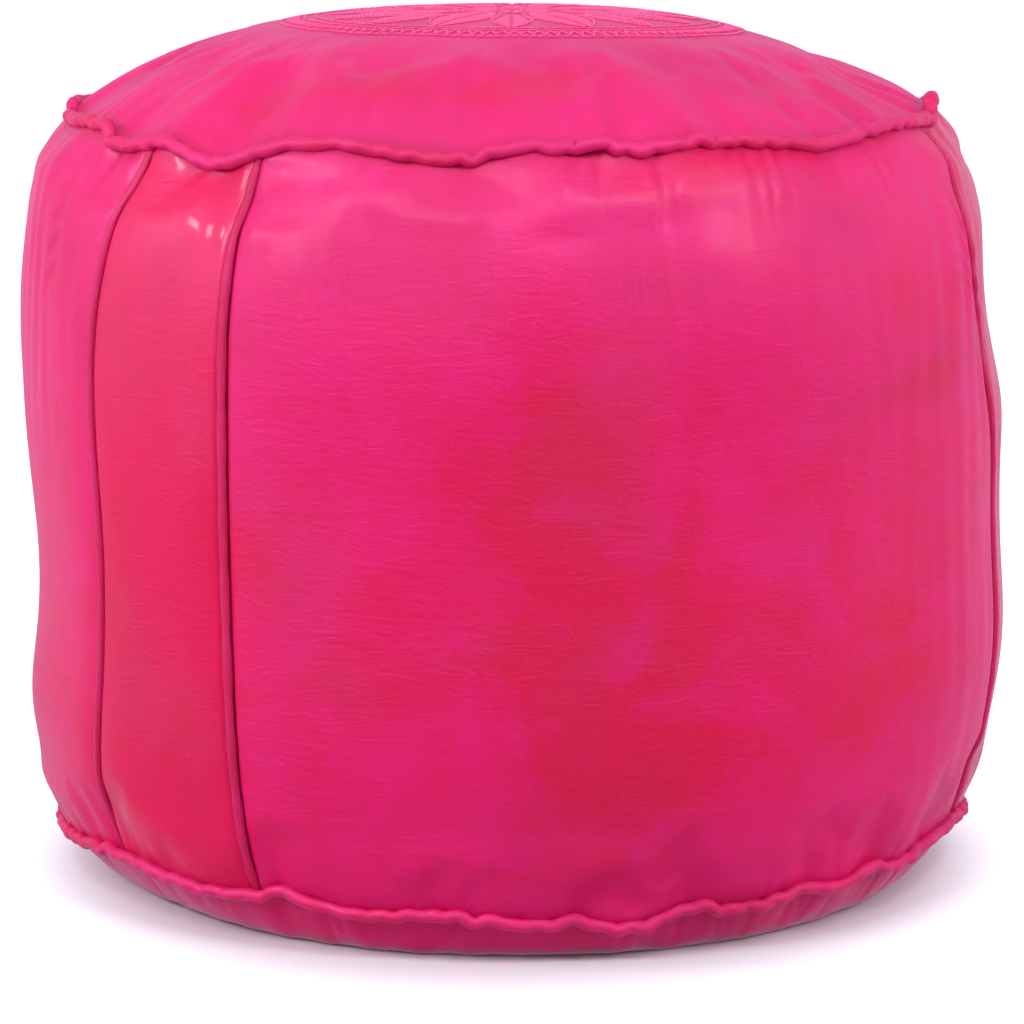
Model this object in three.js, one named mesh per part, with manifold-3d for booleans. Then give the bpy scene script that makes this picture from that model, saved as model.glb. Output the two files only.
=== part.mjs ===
// A round stuffed leather pouf: a goatskin cover in panels, piped seams, a zip under the base,
// and a cotton insert that holds the stuffing. Millimetres, +Z up, origin on the floor under the middle.
import * as THREE from 'three';
import { mergeVertices } from 'three/addons/utils/BufferGeometryUtils.js';
import Module from 'manifold-3d';

const wasm = await Module();
wasm.setup();

// ---- Driving sizes ----
const bellyRadius = 250;
const topSeamRadius = 219.5;
const topSeamHeight = 384.5;
const bottomSeamRadius = 232;
const bottomSeamHeight = 21.5;
const crownRise = 51.5; // middle of the top above the top seam
const sideFullness = 5; // power of the side's curve: higher is squarer
const crownFullness = 3.6; // power of the crown's curve
const footRadius = 200; // outer edge of the ring that the pouf stands on
const footInnerRadius = 170;
const dishRadius = 156; // flat middle of the base, lifted clear of the floor for the zip
const dishHeight = 8;

const leather = 2.2; // skin thickness
const cotton = 1.0; // insert cloth thickness
const insertChamfer = 1; // extra width of the insert's cut-off corner under a seam
const crownSlopeRoom = 1.35; // upright room needed under the crown where it slopes most
const gap = 0.4; // between pieces that touch on the real object

const stripAngles = [-43.3, 84.7, 200.7]; // middles of the narrow strips, degrees from the front
const stripWidth = 21.4; // degrees between a strip's two seams
const seamWeltWidth = 4;
const seamWeltProud = 1.6;

const pipingCordRadius = 1.9;
const pipingLeather = 1.0;
const pipingTail = 5; // sewn-in edge of the piping behind its cord
const pipingTailSlot = 1.0; // between the two layers of that edge
const pipingTailTilt = 45; // degrees that the edge leans towards the pouf's middle
const pipingOffset = 1.5; // cord centre outside the seam line

const embroideryThickness = 0.8;
const rosetteRadius = 98;
const rosetteHub = 26;
const petalCount = 8;
const petalHalfWidth = 17;
const petalPoint = 1.3; // higher is more pointed
const bandInnerRadius = 106;
const bandOuterRadius = 118;

const zipRowLength = 250;
const zipRowWidth = 2.4;
const zipRowHeight = 2.4;
const zipCentreGap = 1.4; // between the two rows, for the slider's wedge
const zipTapeWidth = 12;
const zipTapeThickness = 0.8;
const zipMouthHalfWidth = 8; // leather edge to the zip's middle
const zipMouthEndRoom = 8; // past the end of the rows
const zipStopLength = 3;
const stopRoom = 0.5; // slider to stop when it is home

const sliderLength = 13;
const sliderNose = 7; // width at its narrow end
const sliderWidth = 10.4;
const sliderPlate = 1.1;
const sliderRoom = 0.3; // slider to rows, above and below
const wedgeThickness = 0.7;
const wedgeLength = 4.5;
const bridgeLength = 9;
const bridgeWidth = 2.4;
const bridgeInside = 2.2; // clear height under the bridge
const bridgeBar = 0.9;

const tabBar = 1.0; // side of the pull tab's square eye bar, and the tab's thickness
const tabArmRoom = 0.5; // bridge to the tab's arms
const tabArm = 1.3;
const tabWindow = 6.2; // hinge line to the near edge of the tab's plate
const tabLength = 27;
const tabEndSteps = 4;

const ringSteps = 40; // sides of every round piece, so that neighbours keep their gap
const sideSteps = 8;
const crownSteps = 6;
const rimSteps = 4;
const pipingSteps = 6;
const petalSteps = 6;
const hubSides = 24;
const cordSides = 6;
const axisReach = 2 * bellyRadius; // longer than the pouf is wide

// ---- Colours ----
const pinkLeather = { color: 0xd9215f, roughness: 0.42, metalness: 0 };
const redderLeather = { color: 0xd02a5c, roughness: 0.34, metalness: 0 };
const crownLeather = { color: 0xdd2f74, roughness: 0.45, metalness: 0 };
const pipingColour = { color: 0xcf1f5e, roughness: 0.45, metalness: 0 };
const silk = { color: 0xe05a9c, roughness: 0.5, metalness: 0 };
const cottonCloth = { color: 0xe9e2d2, roughness: 0.9, metalness: 0 };
const cordCotton = { color: 0xdcd3bd, roughness: 0.9, metalness: 0 };
const stuffing = { color: 0xd8cfc0, roughness: 1, metalness: 0 };
const tapeCloth = { color: 0xa31650, roughness: 0.8, metalness: 0 };
const brass = { color: 0xb5924c, roughness: 0.3, metalness: 1 };

// ---- Outlines, as [radius, height] ----
const lerp = THREE.MathUtils.lerp;
const radians = THREE.MathUtils.degToRad;

function sidePoint(share) {
  // share 0 is the bottom seam and 1 the top seam
  const seamRadius = lerp(bottomSeamRadius, topSeamRadius, share);
  const fullness = 1 - Math.abs(2 * share - 1) ** sideFullness;
  return [lerp(seamRadius, bellyRadius, fullness), lerp(bottomSeamHeight, topSeamHeight, share)];
}

function crownHeight(radius) {
  return topSeamHeight + crownRise * (1 - (radius / topSeamRadius) ** crownFullness);
}

function crownPoint(share) {
  // share 0 is the top seam and 1 the middle
  const radius = topSeamRadius * (1 - share);
  return [radius, crownHeight(radius)];
}

function rimPoint(share) {
  // share 0 is the foot's outer edge and 1 the bottom seam
  return [lerp(footRadius, bottomSeamRadius, share), bottomSeamHeight * share ** 2];
}

const evenly = (count, from, to) =>
  Array.from({ length: count + 1 }, (_, i) => lerp(from, to, i / count));

// Shares are packed towards the seams, where the side turns most.
const seamward = (share) => (1 - Math.cos(Math.PI * share)) / 2;

const pipingRadius = pipingCordRadius + gap + pipingLeather;
const topCordCentre = [topSeamRadius + pipingOffset, topSeamHeight];
const bottomCordCentre = [bottomSeamRadius + pipingOffset, bottomSeamHeight];

function clearShare(curve, cordCentre, nearShare, farShare) {
  // How far along a curve that starts at a seam its leather has to stop, to be a gap clear of the piping.
  let [near, far] = [nearShare, farShare];
  for (let halving = 0; halving < 30; halving += 1) {
    const middle = (near + far) / 2;
    const [radius, height] = curve(middle);
    const away = Math.hypot(radius - cordCentre[0], height - cordCentre[1]);
    if (away < pipingRadius + gap) near = middle;
    else far = middle;
  }
  return far;
}

function offsetLine(line, distance) {
  // Moves an open line to its left by distance, with mitred corners.
  return line.map((point, i) => {
    const before = line[Math.max(i - 1, 0)];
    const after = line[Math.min(i + 1, line.length - 1)];
    const along = new THREE.Vector2(after[0] - before[0], after[1] - before[1]).normalize();
    return [point[0] - along.y * distance, point[1] + along.x * distance];
  });
}

function skin(line, outside, thickness) {
  // The closed outline of a skin that lies `outside` the line (negative is inside) and is that thick.
  // The line runs anticlockwise round the pouf's section, so its left is inside.
  const outer = offsetLine(line, -outside);
  const inner = offsetLine(line, -outside + thickness);
  return [...outer, ...inner.reverse()];
}

// ---- Solids ----
function solidOf(geometry) {
  geometry.deleteAttribute('normal');
  geometry.deleteAttribute('uv');
  const merged = mergeVertices(geometry);
  const corners = [];
  for (let i = 0; i < merged.index.count; i += 3) {
    const [a, b, c] = [merged.index.getX(i), merged.index.getX(i + 1), merged.index.getX(i + 2)];
    if (a !== b && b !== c && c !== a) corners.push(a, b, c);
  }
  return new wasm.Manifold(new wasm.Mesh({
    numProp: 3,
    vertProperties: new Float32Array(merged.attributes.position.array),
    triVerts: new Uint32Array(corners),
  }));
}

function turned(outline) {
  // A closed outline turned about the Z axis.
  const points = outline.map(([radius, height]) => new THREE.Vector2(Math.max(radius, 0), height));
  const closed = [...points, points[0].clone()];
  const geometry = new THREE.LatheGeometry(closed, ringSteps);
  geometry.rotateX(Math.PI / 2);
  return solidOf(geometry);
}

function raised(outline, low, high, holes = []) {
  // A flat outline of [x, y] points, standing from one height to another.
  const shape = new THREE.Shape(outline.map(([x, y]) => new THREE.Vector2(x, y)));
  shape.holes = holes.map((hole) => new THREE.Path(hole.map(([x, y]) => new THREE.Vector2(x, y))));
  const geometry = new THREE.ExtrudeGeometry(shape, { depth: high - low, bevelEnabled: false });
  geometry.translate(0, 0, low);
  return solidOf(geometry);
}

function block(x0, x1, y0, y1, z0, z1) {
  const geometry = new THREE.BoxGeometry(x1 - x0, y1 - y0, z1 - z0);
  geometry.translate((x0 + x1) / 2, (y0 + y1) / 2, (z0 + z1) / 2);
  return solidOf(geometry);
}

const pouf = new THREE.Group();

function add(name, solid, finish, place = [0, 0, 0]) {
  const { vertProperties, triVerts } = solid.getMesh();
  const geometry = new THREE.BufferGeometry();
  geometry.setAttribute('position', new THREE.BufferAttribute(vertProperties, 3));
  geometry.setIndex(new THREE.BufferAttribute(triVerts, 1));
  geometry.computeVertexNormals();
  const mesh = new THREE.Mesh(geometry, new THREE.MeshStandardMaterial(finish));
  mesh.name = name;
  mesh.position.set(...place);
  pouf.add(mesh);
}

// ---- Side: wide panels, narrow strips and the folded welts in the seams between them ----
const overTop = crownHeight(0) + topSeamHeight; // a height above everything, for what only cuts
const sideStart = clearShare(sidePoint, bottomCordCentre, 0, 1 / 2);
const sideEnd = clearShare(sidePoint, topCordCentre, 1, 1 / 2);
const sideLine = evenly(sideSteps, 0, 1).map((share) => sidePoint(lerp(sideStart, sideEnd, seamward(share))));
const sideRing = turned(skin(sideLine, 0, leather));
const seamWeltRing = turned(skin(sideLine, seamWeltProud, leather + seamWeltProud));

// Unit vector at an angle round the pouf, counted from the front (-Y) towards +X.
const facing = (degrees) => [Math.sin(radians(degrees)), -Math.cos(radians(degrees))];

function sector(fromDegrees, toDegrees, inset) {
  // The wedge between two seams, with both its sides moved in by inset.
  const [fromX, fromY] = facing(fromDegrees);
  const [toX, toY] = facing(toDegrees);
  const middle = facing((fromDegrees + toDegrees) / 2);
  const apex = inset / Math.sin(radians((toDegrees - fromDegrees) / 2));
  const tip = [middle[0] * apex, middle[1] * apex];
  const reachFrom = [tip[0] + fromX * axisReach, tip[1] + fromY * axisReach];
  const reachTo = [tip[0] + toX * axisReach, tip[1] + toY * axisReach];
  const reachMiddle = [tip[0] + middle[0] * axisReach * 2, tip[1] + middle[1] * axisReach * 2];
  return raised([tip, reachFrom, reachMiddle, reachTo], 0, overTop);
}

const panelInset = seamWeltWidth / 2 + gap;
const seams = stripAngles.flatMap((angle) => [angle - stripWidth / 2, angle + stripWidth / 2]);
seams.forEach((seam, i) => {
  const next = i + 1 < seams.length ? seams[i + 1] : seams[0] + 360;
  const isStrip = i % 2 === 0;
  const number = Math.floor(i / 2) + 1;
  const name = isStrip ? `side_strip_${number}` : `side_panel_${number}`;
  add(name, sideRing.intersect(sector(seam, next, panelInset)), isStrip ? redderLeather : pinkLeather);

  const slab = block(-seamWeltWidth / 2, seamWeltWidth / 2, -axisReach, 0, 0, overTop).rotate([0, 0, seam]);
  add(`seam_welt_${i + 1}`, seamWeltRing.intersect(slab), pipingColour);
});

// ---- Piping: a cotton cord in a folded strip of leather, round the top and bottom seams ----
function arc(radius, fromDegrees, toDegrees, steps) {
  return evenly(steps, fromDegrees, toDegrees).map((degrees) =>
    [radius * Math.cos(radians(degrees)), radius * Math.sin(radians(degrees))]);
}

function pipingOutline() {
  // Section round the cord's centre, open towards the inside, where its two layers are sewn in.
  const inside = pipingCordRadius + gap;
  const slot = pipingTailSlot / 2;
  const tail = slot + pipingLeather;
  const tailEnd = -(pipingRadius + pipingTail);
  const outerAngle = 180 - THREE.MathUtils.radToDeg(Math.asin(tail / pipingRadius));
  const innerAngle = 180 - THREE.MathUtils.radToDeg(Math.asin(slot / inside));
  return [
    [tailEnd, -tail], ...arc(pipingRadius, -outerAngle, outerAngle, pipingSteps), [tailEnd, tail],
    [tailEnd, slot], ...arc(inside, innerAngle, -innerAngle, pipingSteps), [tailEnd, -slot],
  ];
}

function besideSeam([cordRadius, cordHeight], tilt, [x, z]) {
  // A place given from the cord's centre, x away from the pouf's middle, once leant over by tilt.
  const [cos, sin] = [Math.cos(radians(tilt)), Math.sin(radians(tilt))];
  return [cordRadius + x * cos - z * sin, cordHeight + x * sin + z * cos];
}

const cordOutline = arc(pipingCordRadius, 0, 360 - 360 / cordSides, cordSides - 1);
const seamsRound = {
  top: [topCordCentre, pipingTailTilt],
  bottom: [bottomCordCentre, -pipingTailTilt],
};
Object.entries(seamsRound).forEach(([end, seam]) => {
  const place = (outline) => turned(outline.map((point) => besideSeam(...seam, point)));
  add(`${end}_piping_cover`, place(pipingOutline()), pipingColour);
  add(`${end}_piping_cord`, place(cordOutline), cordCotton);
});

// ---- Crown: one disc of leather, with the embroidery that lies on it ----
const crownStart = clearShare(crownPoint, topCordCentre, 0, 1 / 2);
const crownLine = evenly(crownSteps, 0, 1).map((share) => crownPoint(lerp(crownStart, 1, share ** 2)));
add('top_panel', turned(skin(crownLine, 0, leather)), crownLeather);

function crownLayerHeight(radius) {
  // The height of the crown's facets, which are a little under its true curve.
  const i = crownLine.findIndex(([ring]) => ring <= radius);
  const [inner, outer] = [crownLine[i], crownLine[Math.max(i - 1, 0)]];
  const share = outer[0] > inner[0] ? (radius - inner[0]) / (outer[0] - inner[0]) : 0;
  return lerp(inner[1], outer[1], share);
}

function crownLayer(outerRadius, innerRadius) {
  // A flat-lying layer on the crown, bent where the crown's own facets bend, so that it keeps its gap.
  const rings = crownLine.map(([ring]) => ring).filter((r) => r < outerRadius && r > innerRadius);
  const line = [outerRadius, ...rings, innerRadius].map((radius) => [radius, crownLayerHeight(radius)]);
  return turned([
    ...line.map(([radius, height]) => [radius, height + gap + embroideryThickness]),
    ...line.map(([radius, height]) => [radius, height + gap]).reverse(),
  ]);
}

function petal(angle) {
  // A pointed lens from the middle to the rosette's edge.
  const middle = rosetteRadius / 2;
  const side = evenly(petalSteps, 0, 1).map((share) => [
    middle - middle * Math.cos(Math.PI * share),
    -petalHalfWidth * Math.sin(Math.PI * share) ** petalPoint,
  ]);
  const otherSide = side.slice(1, -1).reverse().map(([x, y]) => [x, -y]);
  return raised([...side, ...otherSide], 0, overTop).rotate([0, 0, angle]);
}

const hub = raised(arc(rosetteHub, 0, 360 - 360 / hubSides, hubSides - 1), 0, overTop);
const rosetteOutline = evenly(petalCount - 1, 0, 360 - 360 / petalCount)
  .reduce((joined, angle) => joined.add(petal(angle)), hub);
add('embroidery_rosette', crownLayer(bandInnerRadius, 0).intersect(rosetteOutline), silk);
add('embroidery_band', crownLayer(bandOuterRadius, bandInnerRadius), silk);

// ---- Base: two half discs, joined by the zip between them ----
const rimEnd = clearShare(rimPoint, bottomCordCentre, 1, 0);
const baseLine = [
  [0, dishHeight], [dishRadius, dishHeight], [footInnerRadius, 0],
  ...evenly(rimSteps, 0, rimEnd).map((share) => rimPoint(share)),
];
const baseDisc = turned(skin(baseLine, 0, leather));
const mouthHalfLength = zipRowLength / 2 + zipMouthEndRoom;
const mouth = block(-mouthHalfLength, mouthHalfLength, -zipMouthHalfWidth, zipMouthHalfWidth, 0, overTop);
[['front', -1], ['rear', 1]].forEach(([name, side]) => {
  const near = side * gap / 2;
  const far = side * axisReach;
  const half = block(-axisReach, axisReach, Math.min(near, far), Math.max(near, far), -leather, overTop);
  add(`base_half_${name}`, baseDisc.intersect(half).subtract(mouth), pinkLeather);
});

// ---- Zip, inside the base leather ----
const tapeLow = dishHeight + leather + gap;
const rowMiddle = tapeLow + zipTapeThickness / 2;
const rowLow = rowMiddle - zipRowHeight / 2;
const rowHigh = rowMiddle + zipRowHeight / 2;
const rowHalf = zipRowLength / 2;
const rowNear = zipCentreGap / 2;
const rowFar = rowNear + zipRowWidth;
[['front', -1], ['rear', 1]].forEach(([name, side]) => {
  const across = (near, far) => (side < 0 ? [-far, -near] : [near, far]);
  const [tape0, tape1] = across(rowFar + gap, rowFar + gap + zipTapeWidth);
  const [row0, row1] = across(rowNear, rowFar);
  const tapeHalf = rowHalf + zipStopLength + gap;
  add(`zip_tape_${name}`, block(-tapeHalf, tapeHalf, tape0, tape1, tapeLow, tapeLow + zipTapeThickness),
    tapeCloth);
  add(`zip_teeth_${name}`, block(-rowHalf, rowHalf, row0, row1, rowLow, rowHigh), brass);
  const stopEnd = -rowHalf - gap;
  add(`zip_top_stop_${name}`, block(stopEnd - zipStopLength, stopEnd, row0, row1, rowLow, rowHigh), brass);
});
const bottomStop = rowHalf + gap;
const bottomStopBlock = block(bottomStop, bottomStop + zipStopLength, -rowFar, rowFar, rowLow, rowHigh);
add('zip_bottom_stop', bottomStopBlock, brass);

// The slider is home against the top stops. Its own middle is its origin, at the lower plate's outer face.
const outerPlateLow = rowLow - sliderRoom - sliderPlate;
const innerPlateLow = rowHigh + sliderRoom - outerPlateLow;
const sliderHomeX = -rowHalf + stopRoom + sliderLength / 2;
const halfLength = sliderLength / 2;
const sliderOutline = [
  [-halfLength, -sliderWidth / 2], [0, -sliderWidth / 2], [halfLength, -sliderNose / 2],
  [halfLength, sliderNose / 2], [0, sliderWidth / 2], [-halfLength, sliderWidth / 2],
];
const bridgeHeight = bridgeInside + bridgeBar;
const bridgeHalf = bridgeLength / 2;
const bridgeInner = bridgeHalf - bridgeBar;
const bridgeSide = bridgeWidth / 2;
const bridge = block(-bridgeHalf, bridgeHalf, -bridgeSide, bridgeSide, -bridgeHeight, sliderPlate / 2)
  .subtract(block(-bridgeInner, bridgeInner, -bridgeWidth, bridgeWidth, -bridgeInside, 0));
const wedge = block(-halfLength, -halfLength + wedgeLength, -wedgeThickness / 2, wedgeThickness / 2,
  sliderPlate / 2, innerPlateLow + sliderPlate / 2);
const slider = raised(sliderOutline, 0, sliderPlate)
  .add(raised(sliderOutline, innerPlateLow, innerPlateLow + sliderPlate))
  .add(wedge)
  .add(bridge);
add('zip_slider', slider, brass, [sliderHomeX, 0, outerPlateLow]);

// The pull tab lies flat along the zip; its eye bar turns under the bridge.
const hingeDrop = bridgeInside / 2;
const armNear = bridgeWidth / 2 + tabArmRoom;
const tabHalf = armNear + tabArm;
const tabOutline = [
  [-tabBar / 2, -tabHalf], [tabLength - tabHalf, -tabHalf],
  ...arc(tabHalf, -60, 60, tabEndSteps).map(([x, y]) => [x + tabLength - tabHalf, y]),
  [tabLength - tabHalf, tabHalf], [-tabBar / 2, tabHalf],
];
const tabHole = [[tabBar / 2, -armNear], [tabWindow, -armNear], [tabWindow, armNear], [tabBar / 2, armNear]];
add('zip_pull_tab', raised(tabOutline, -tabBar / 2, tabBar / 2, [tabHole]), brass,
  [sliderHomeX, 0, outerPlateLow - hingeDrop]);

// ---- Insert: a cotton bag of three pieces round the stuffing, cut off at the piping's sewn edges ----
const tailClear = pipingRadius + pipingTail + 2 * gap;
const chamferHalf = tailClear + insertChamfer;
const topSide = besideSeam(...seamsRound.top, [-tailClear, -chamferHalf]);
const topCap = besideSeam(...seamsRound.top, [-tailClear, chamferHalf]);
const bottomSide = besideSeam(...seamsRound.bottom, [-tailClear, chamferHalf]);
const bottomCap = besideSeam(...seamsRound.bottom, [-tailClear, -chamferHalf]);

const insertGap = leather + gap;
const fillGap = cotton + gap;
const lifted = (line, rise) => line.map(([radius, height]) => [radius, height + rise]);

const insertTopLine = lifted(
  [topCap[0], ...crownLine.map(([radius]) => radius).filter((radius) => radius < topCap[0])]
    .map((radius) => [radius, crownLayerHeight(radius)]), -insertGap * crownSlopeRoom);
add('insert_top', turned([...insertTopLine, ...lifted(insertTopLine, -cotton).reverse()]), cottonCloth);

const insertBandLine = offsetLine(sideLine, insertGap)
  .filter(([, height]) => height > bottomSide[1] && height < topSide[1]);
add('insert_band', turned(skin(insertBandLine, 0, cotton)), cottonCloth);

const insertBase = outerPlateLow + innerPlateLow + sliderPlate + gap;
const insertBaseLine = [
  [0, insertBase], [dishRadius, insertBase], [footInnerRadius, insertGap], [footRadius, insertGap],
  lifted([bottomCap], -cotton)[0],
];
add('insert_base', turned([...insertBaseLine, ...lifted(insertBaseLine, cotton).reverse()]), cottonCloth);

add('stuffing', turned([
  ...lifted(insertBaseLine, fillGap),
  bottomSide, ...insertBandLine.map(([radius, height]) => [radius - fillGap, height]), topSide, topCap,
  ...lifted(insertTopLine, -fillGap),
]), stuffing);

export default pouf;
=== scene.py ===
# %% [markdown]
# # A Moroccan leather pouf
#
# The pouf is a drum of dyed goatskin, hand sewn and stuffed hard with cotton. Its looks come from four
# things: a wavy piping round the top and the bottom, panels that the stuffing pushes out between their
# seams, leather that is mottled by hand dyeing, and stitching on the crown in thread of nearly the same
# pink.
#
# The CAD model is the frame for all of it, so this cell loads it first and measures its box.

# %% Load the frame
import math

import bpy
import numpy as np
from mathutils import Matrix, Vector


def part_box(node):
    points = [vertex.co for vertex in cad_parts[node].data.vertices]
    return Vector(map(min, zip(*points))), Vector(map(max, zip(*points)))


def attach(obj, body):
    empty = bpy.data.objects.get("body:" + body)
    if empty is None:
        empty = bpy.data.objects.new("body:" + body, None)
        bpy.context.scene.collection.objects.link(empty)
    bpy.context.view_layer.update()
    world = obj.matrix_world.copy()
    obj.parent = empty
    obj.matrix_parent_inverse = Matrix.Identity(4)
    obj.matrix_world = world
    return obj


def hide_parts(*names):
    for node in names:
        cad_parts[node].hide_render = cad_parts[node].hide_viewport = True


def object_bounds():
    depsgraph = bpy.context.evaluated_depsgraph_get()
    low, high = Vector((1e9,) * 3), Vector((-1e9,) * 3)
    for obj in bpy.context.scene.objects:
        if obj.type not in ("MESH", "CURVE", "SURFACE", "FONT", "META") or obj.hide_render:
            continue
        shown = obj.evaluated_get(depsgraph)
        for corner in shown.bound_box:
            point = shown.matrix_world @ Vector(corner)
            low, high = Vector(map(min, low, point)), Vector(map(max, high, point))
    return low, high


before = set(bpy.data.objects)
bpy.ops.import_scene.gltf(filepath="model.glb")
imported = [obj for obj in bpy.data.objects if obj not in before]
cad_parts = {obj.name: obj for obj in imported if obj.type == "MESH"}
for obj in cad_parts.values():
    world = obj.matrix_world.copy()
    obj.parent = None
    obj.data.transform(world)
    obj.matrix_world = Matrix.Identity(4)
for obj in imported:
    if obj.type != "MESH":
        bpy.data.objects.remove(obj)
cad_low, cad_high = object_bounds()
print("CAD box", [round(v, 4) for v in (cad_high - cad_low)])

# %% [markdown]
# Every size below comes from the frame, so the looks follow the CAD if it changes. The two cords inside the
# pipings say where the top and bottom seams run, and the top panel says how high the crown rises. Lengths
# are worked out in millimetres, which are easier to think in, and turned into metres when a mesh is made.

# %% Sizes from the frame
MM = 0.001


def box_mm(node):
    """Lowest and highest corner of a CAD node, in millimetres."""
    low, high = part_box(node)
    return np.array(low) / MM, np.array(high) / MM


top_cord_low, top_cord_high = box_mm("top_piping_cord")
bottom_cord_low, bottom_cord_high = box_mm("bottom_piping_cord")
crown_high = box_mm("top_panel")[1]
cord_radius = (top_cord_high[2] - top_cord_low[2]) / 2
top_piping_radius = top_cord_high[0] - cord_radius
bottom_piping_radius = bottom_cord_high[0] - cord_radius
top_z = (top_cord_low[2] + top_cord_high[2]) / 2
bottom_z = (bottom_cord_low[2] + bottom_cord_high[2]) / 2
PIPING_OFFSET = 1.5
top_radius = top_piping_radius - PIPING_OFFSET
bottom_radius = bottom_piping_radius - PIPING_OFFSET
belly_radius = cad_high[0] / MM
crown_rise = crown_high[2] - top_z
LEATHER = 2.0
print("seams: top r", round(top_radius, 1), "z", round(top_z, 1))
print("seams: bottom r", round(bottom_radius, 1), "z", round(bottom_z, 1))
print("crown rise", round(crown_rise, 1))

# %% [markdown]
# A place on the pouf is an angle round it and a share of its height. The angle starts at the front and grows
# to the right, in degrees. The six upright seams are read from the welts, which are slim strips of leather.

# %% Seam angles
WELTS = ["seam_welt_%d" % number for number in range(1, 7)]


def angle_of(node):
    """Angle of a CAD node round the pouf, in degrees, from the middle of its box."""
    low, high = box_mm(node)
    middle = (low + high) / 2
    return math.degrees(math.atan2(middle[0], -middle[1]))


seam_angles = [angle_of(name) for name in WELTS]
print("seam angles", [round(a, 1) for a in seam_angles])

# %% [markdown]
# Hand sewing never keeps a straight line: leather is eased into the seam, so the piping rises and dips by up
# to a centimetre. Each seam is a closed line through listed heights. It runs nearly straight from one
# point to the next and turns in a tight kink, as a stiff piping does, so only its corners are rounded.

# %% Wavy seams
CORNER_ROUNDING = [-1.1, -0.55, 0.0, 0.55, 1.1]


def wave(points):
    """A closed line round the pouf through (angle, height) points, with rounded corners."""
    at, height = np.array(sorted(points), float).T

    def height_at(angle):
        angle = np.asarray(angle, float)
        near_by = [np.interp(angle + turn, at, height, period=360) for turn in CORNER_ROUNDING]
        return sum(near_by) / len(near_by)

    return height_at


top_wave = wave([
    (-176, 1), (-166, 5), (-158, -3), (-149, -6), (-141, 1), (-130, 4), (-121, 0), (-112, -4),
    (-103, 1), (-95, 3), (-88, 4), (-84.5, 0), (-79, -1), (-68, 2), (-62, 1), (-59.5, -7), (-55, -6),
    (-48, -2), (-42, -10), (-38, -11), (-34, -6), (-29, 0), (-21, 2), (-13, -3), (-6, -5), (1.5, 2),
    (9, 0), (11, 2.5), (15, -1), (22, 2.5), (32, 1.5), (42, -3), (50, 2), (58, 4.5), (64, 3), (70, 2),
    (74.5, 3), (77, 8), (84, 8), (92, 5), (101, -2), (110, -5), (119, 1), (128, 4), (139, -2),
    (148, -6), (157, 2), (167, 5), (175, -3),
])
bottom_wave = wave([
    (-175, 4), (-163, -2), (-152, 5), (-141, 1), (-131, -3), (-120, 4), (-109, 0), (-98, 5),
    (-84, 0), (-70, 3), (-60, 7), (-53, 7), (-46, 4), (-39, 2), (-31, 4), (-28, 8), (-24, 4), (-20, 1),
    (-14, 1), (-10, 3), (-4, 1), (3, -2), (8, 1), (11, -5), (16, -4), (21, 4), (26, 0), (31, 0), (37, 5),
    (43, 1), (48, 7), (54, 3), (61, 8), (74, 10), (84, 5), (95, 0), (106, 4), (117, -3), (127, 2),
    (138, 6), (149, 0), (159, -4), (169, 3),
])
sweep = np.linspace(-180, 180, 1441)
print("top seam waves from", round(top_wave(sweep).min(), 1), "to", round(top_wave(sweep).max(), 1), "mm")

# %% [markdown]
# Stuffing packed by hand isn't even. These lists hold the soft swellings and hollows of the side, each as
# its angle, its share of the height, its spread in degrees, its spread in height and its depth in
# millimetres, and a small helper adds them up. The same helper later says where the dye took redder.

# %% Swellings and hollows
SIDE_LUMPS = [
    (90, 0.76, 22, 0.14, -9.0), (84, 0.93, 30, 0.07, -4.0), (88, 1.02, 22, 0.06, -8.0),
    (92, 0.22, 30, 0.12, 2.0),
    (-88, 0.37, 30, 0.16, -6.0), (-88, 0.93, 30, 0.07, 4.0), (10, 0.30, 22, 0.16, 1.5),
    (-12, 0.72, 16, 0.12, 1.6), (26, 0.78, 9, 0.10, 1.4), (40, 0.55, 12, 0.16, -1.2),
    (58, 0.40, 10, 0.20, 1.4), (-70, 0.62, 9, 0.22, 1.2), (140, 0.60, 25, 0.20, 2.0),
    (92, 0.58, 20, 0.07, 2.2), (90, 0.28, 26, 0.10, 2.5), (-88, 0.19, 26, 0.08, 2.5),
    (178, 0.35, 22, 0.15, -3.0), (-120, 0.70, 20, 0.18, -3.0), (-135, 0.25, 20, 0.14, 1.5),
]


def turn_between(angle, other):
    """The shorter turn from one angle to another, in degrees."""
    return (angle - other + 180) % 360 - 180


def lumps(angle, share, places):
    """Adds up soft round lumps, given as (angle, share, angle spread, share spread, size)."""
    total = np.zeros(np.broadcast(angle, share).shape)
    for at, level, wide, tall, size in places:
        total += size * np.exp(-(turn_between(angle, at) / wide) ** 2 - ((share - level) / tall) ** 2)
    return total


side_share, side_angle = np.meshgrid(np.linspace(0, 1, 50), np.linspace(-180, 180, 90))
print("side lumps", lumps(side_angle, side_share, SIDE_LUMPS).round(1).min(), "mm at the deepest")

# %% [markdown]
# The side's outline is a drum that is full in the middle and pulled in at both seams. One formula gives the
# radius at a share of the height, and the wavy seams give the height itself.

# %% The side's outline
SIDE_FULLNESS = 5
side_height = top_z - bottom_z


def side_radius(share):
    """Radius of the even side in millimetres, with no waves or folds."""
    seam = bottom_radius + (top_radius - bottom_radius) * share
    return seam + (belly_radius - seam) * (1 - np.abs(2 * share - 1) ** SIDE_FULLNESS)


def round_point(angle, radius, height):
    """Points in millimetres from an angle in degrees, a radius and a height."""
    turn = np.radians(angle)
    return np.stack([radius * np.sin(turn), -radius * np.cos(turn), height + 0 * radius], axis=-1)


print("radius at the middle of the side", side_radius(0.5))

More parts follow.
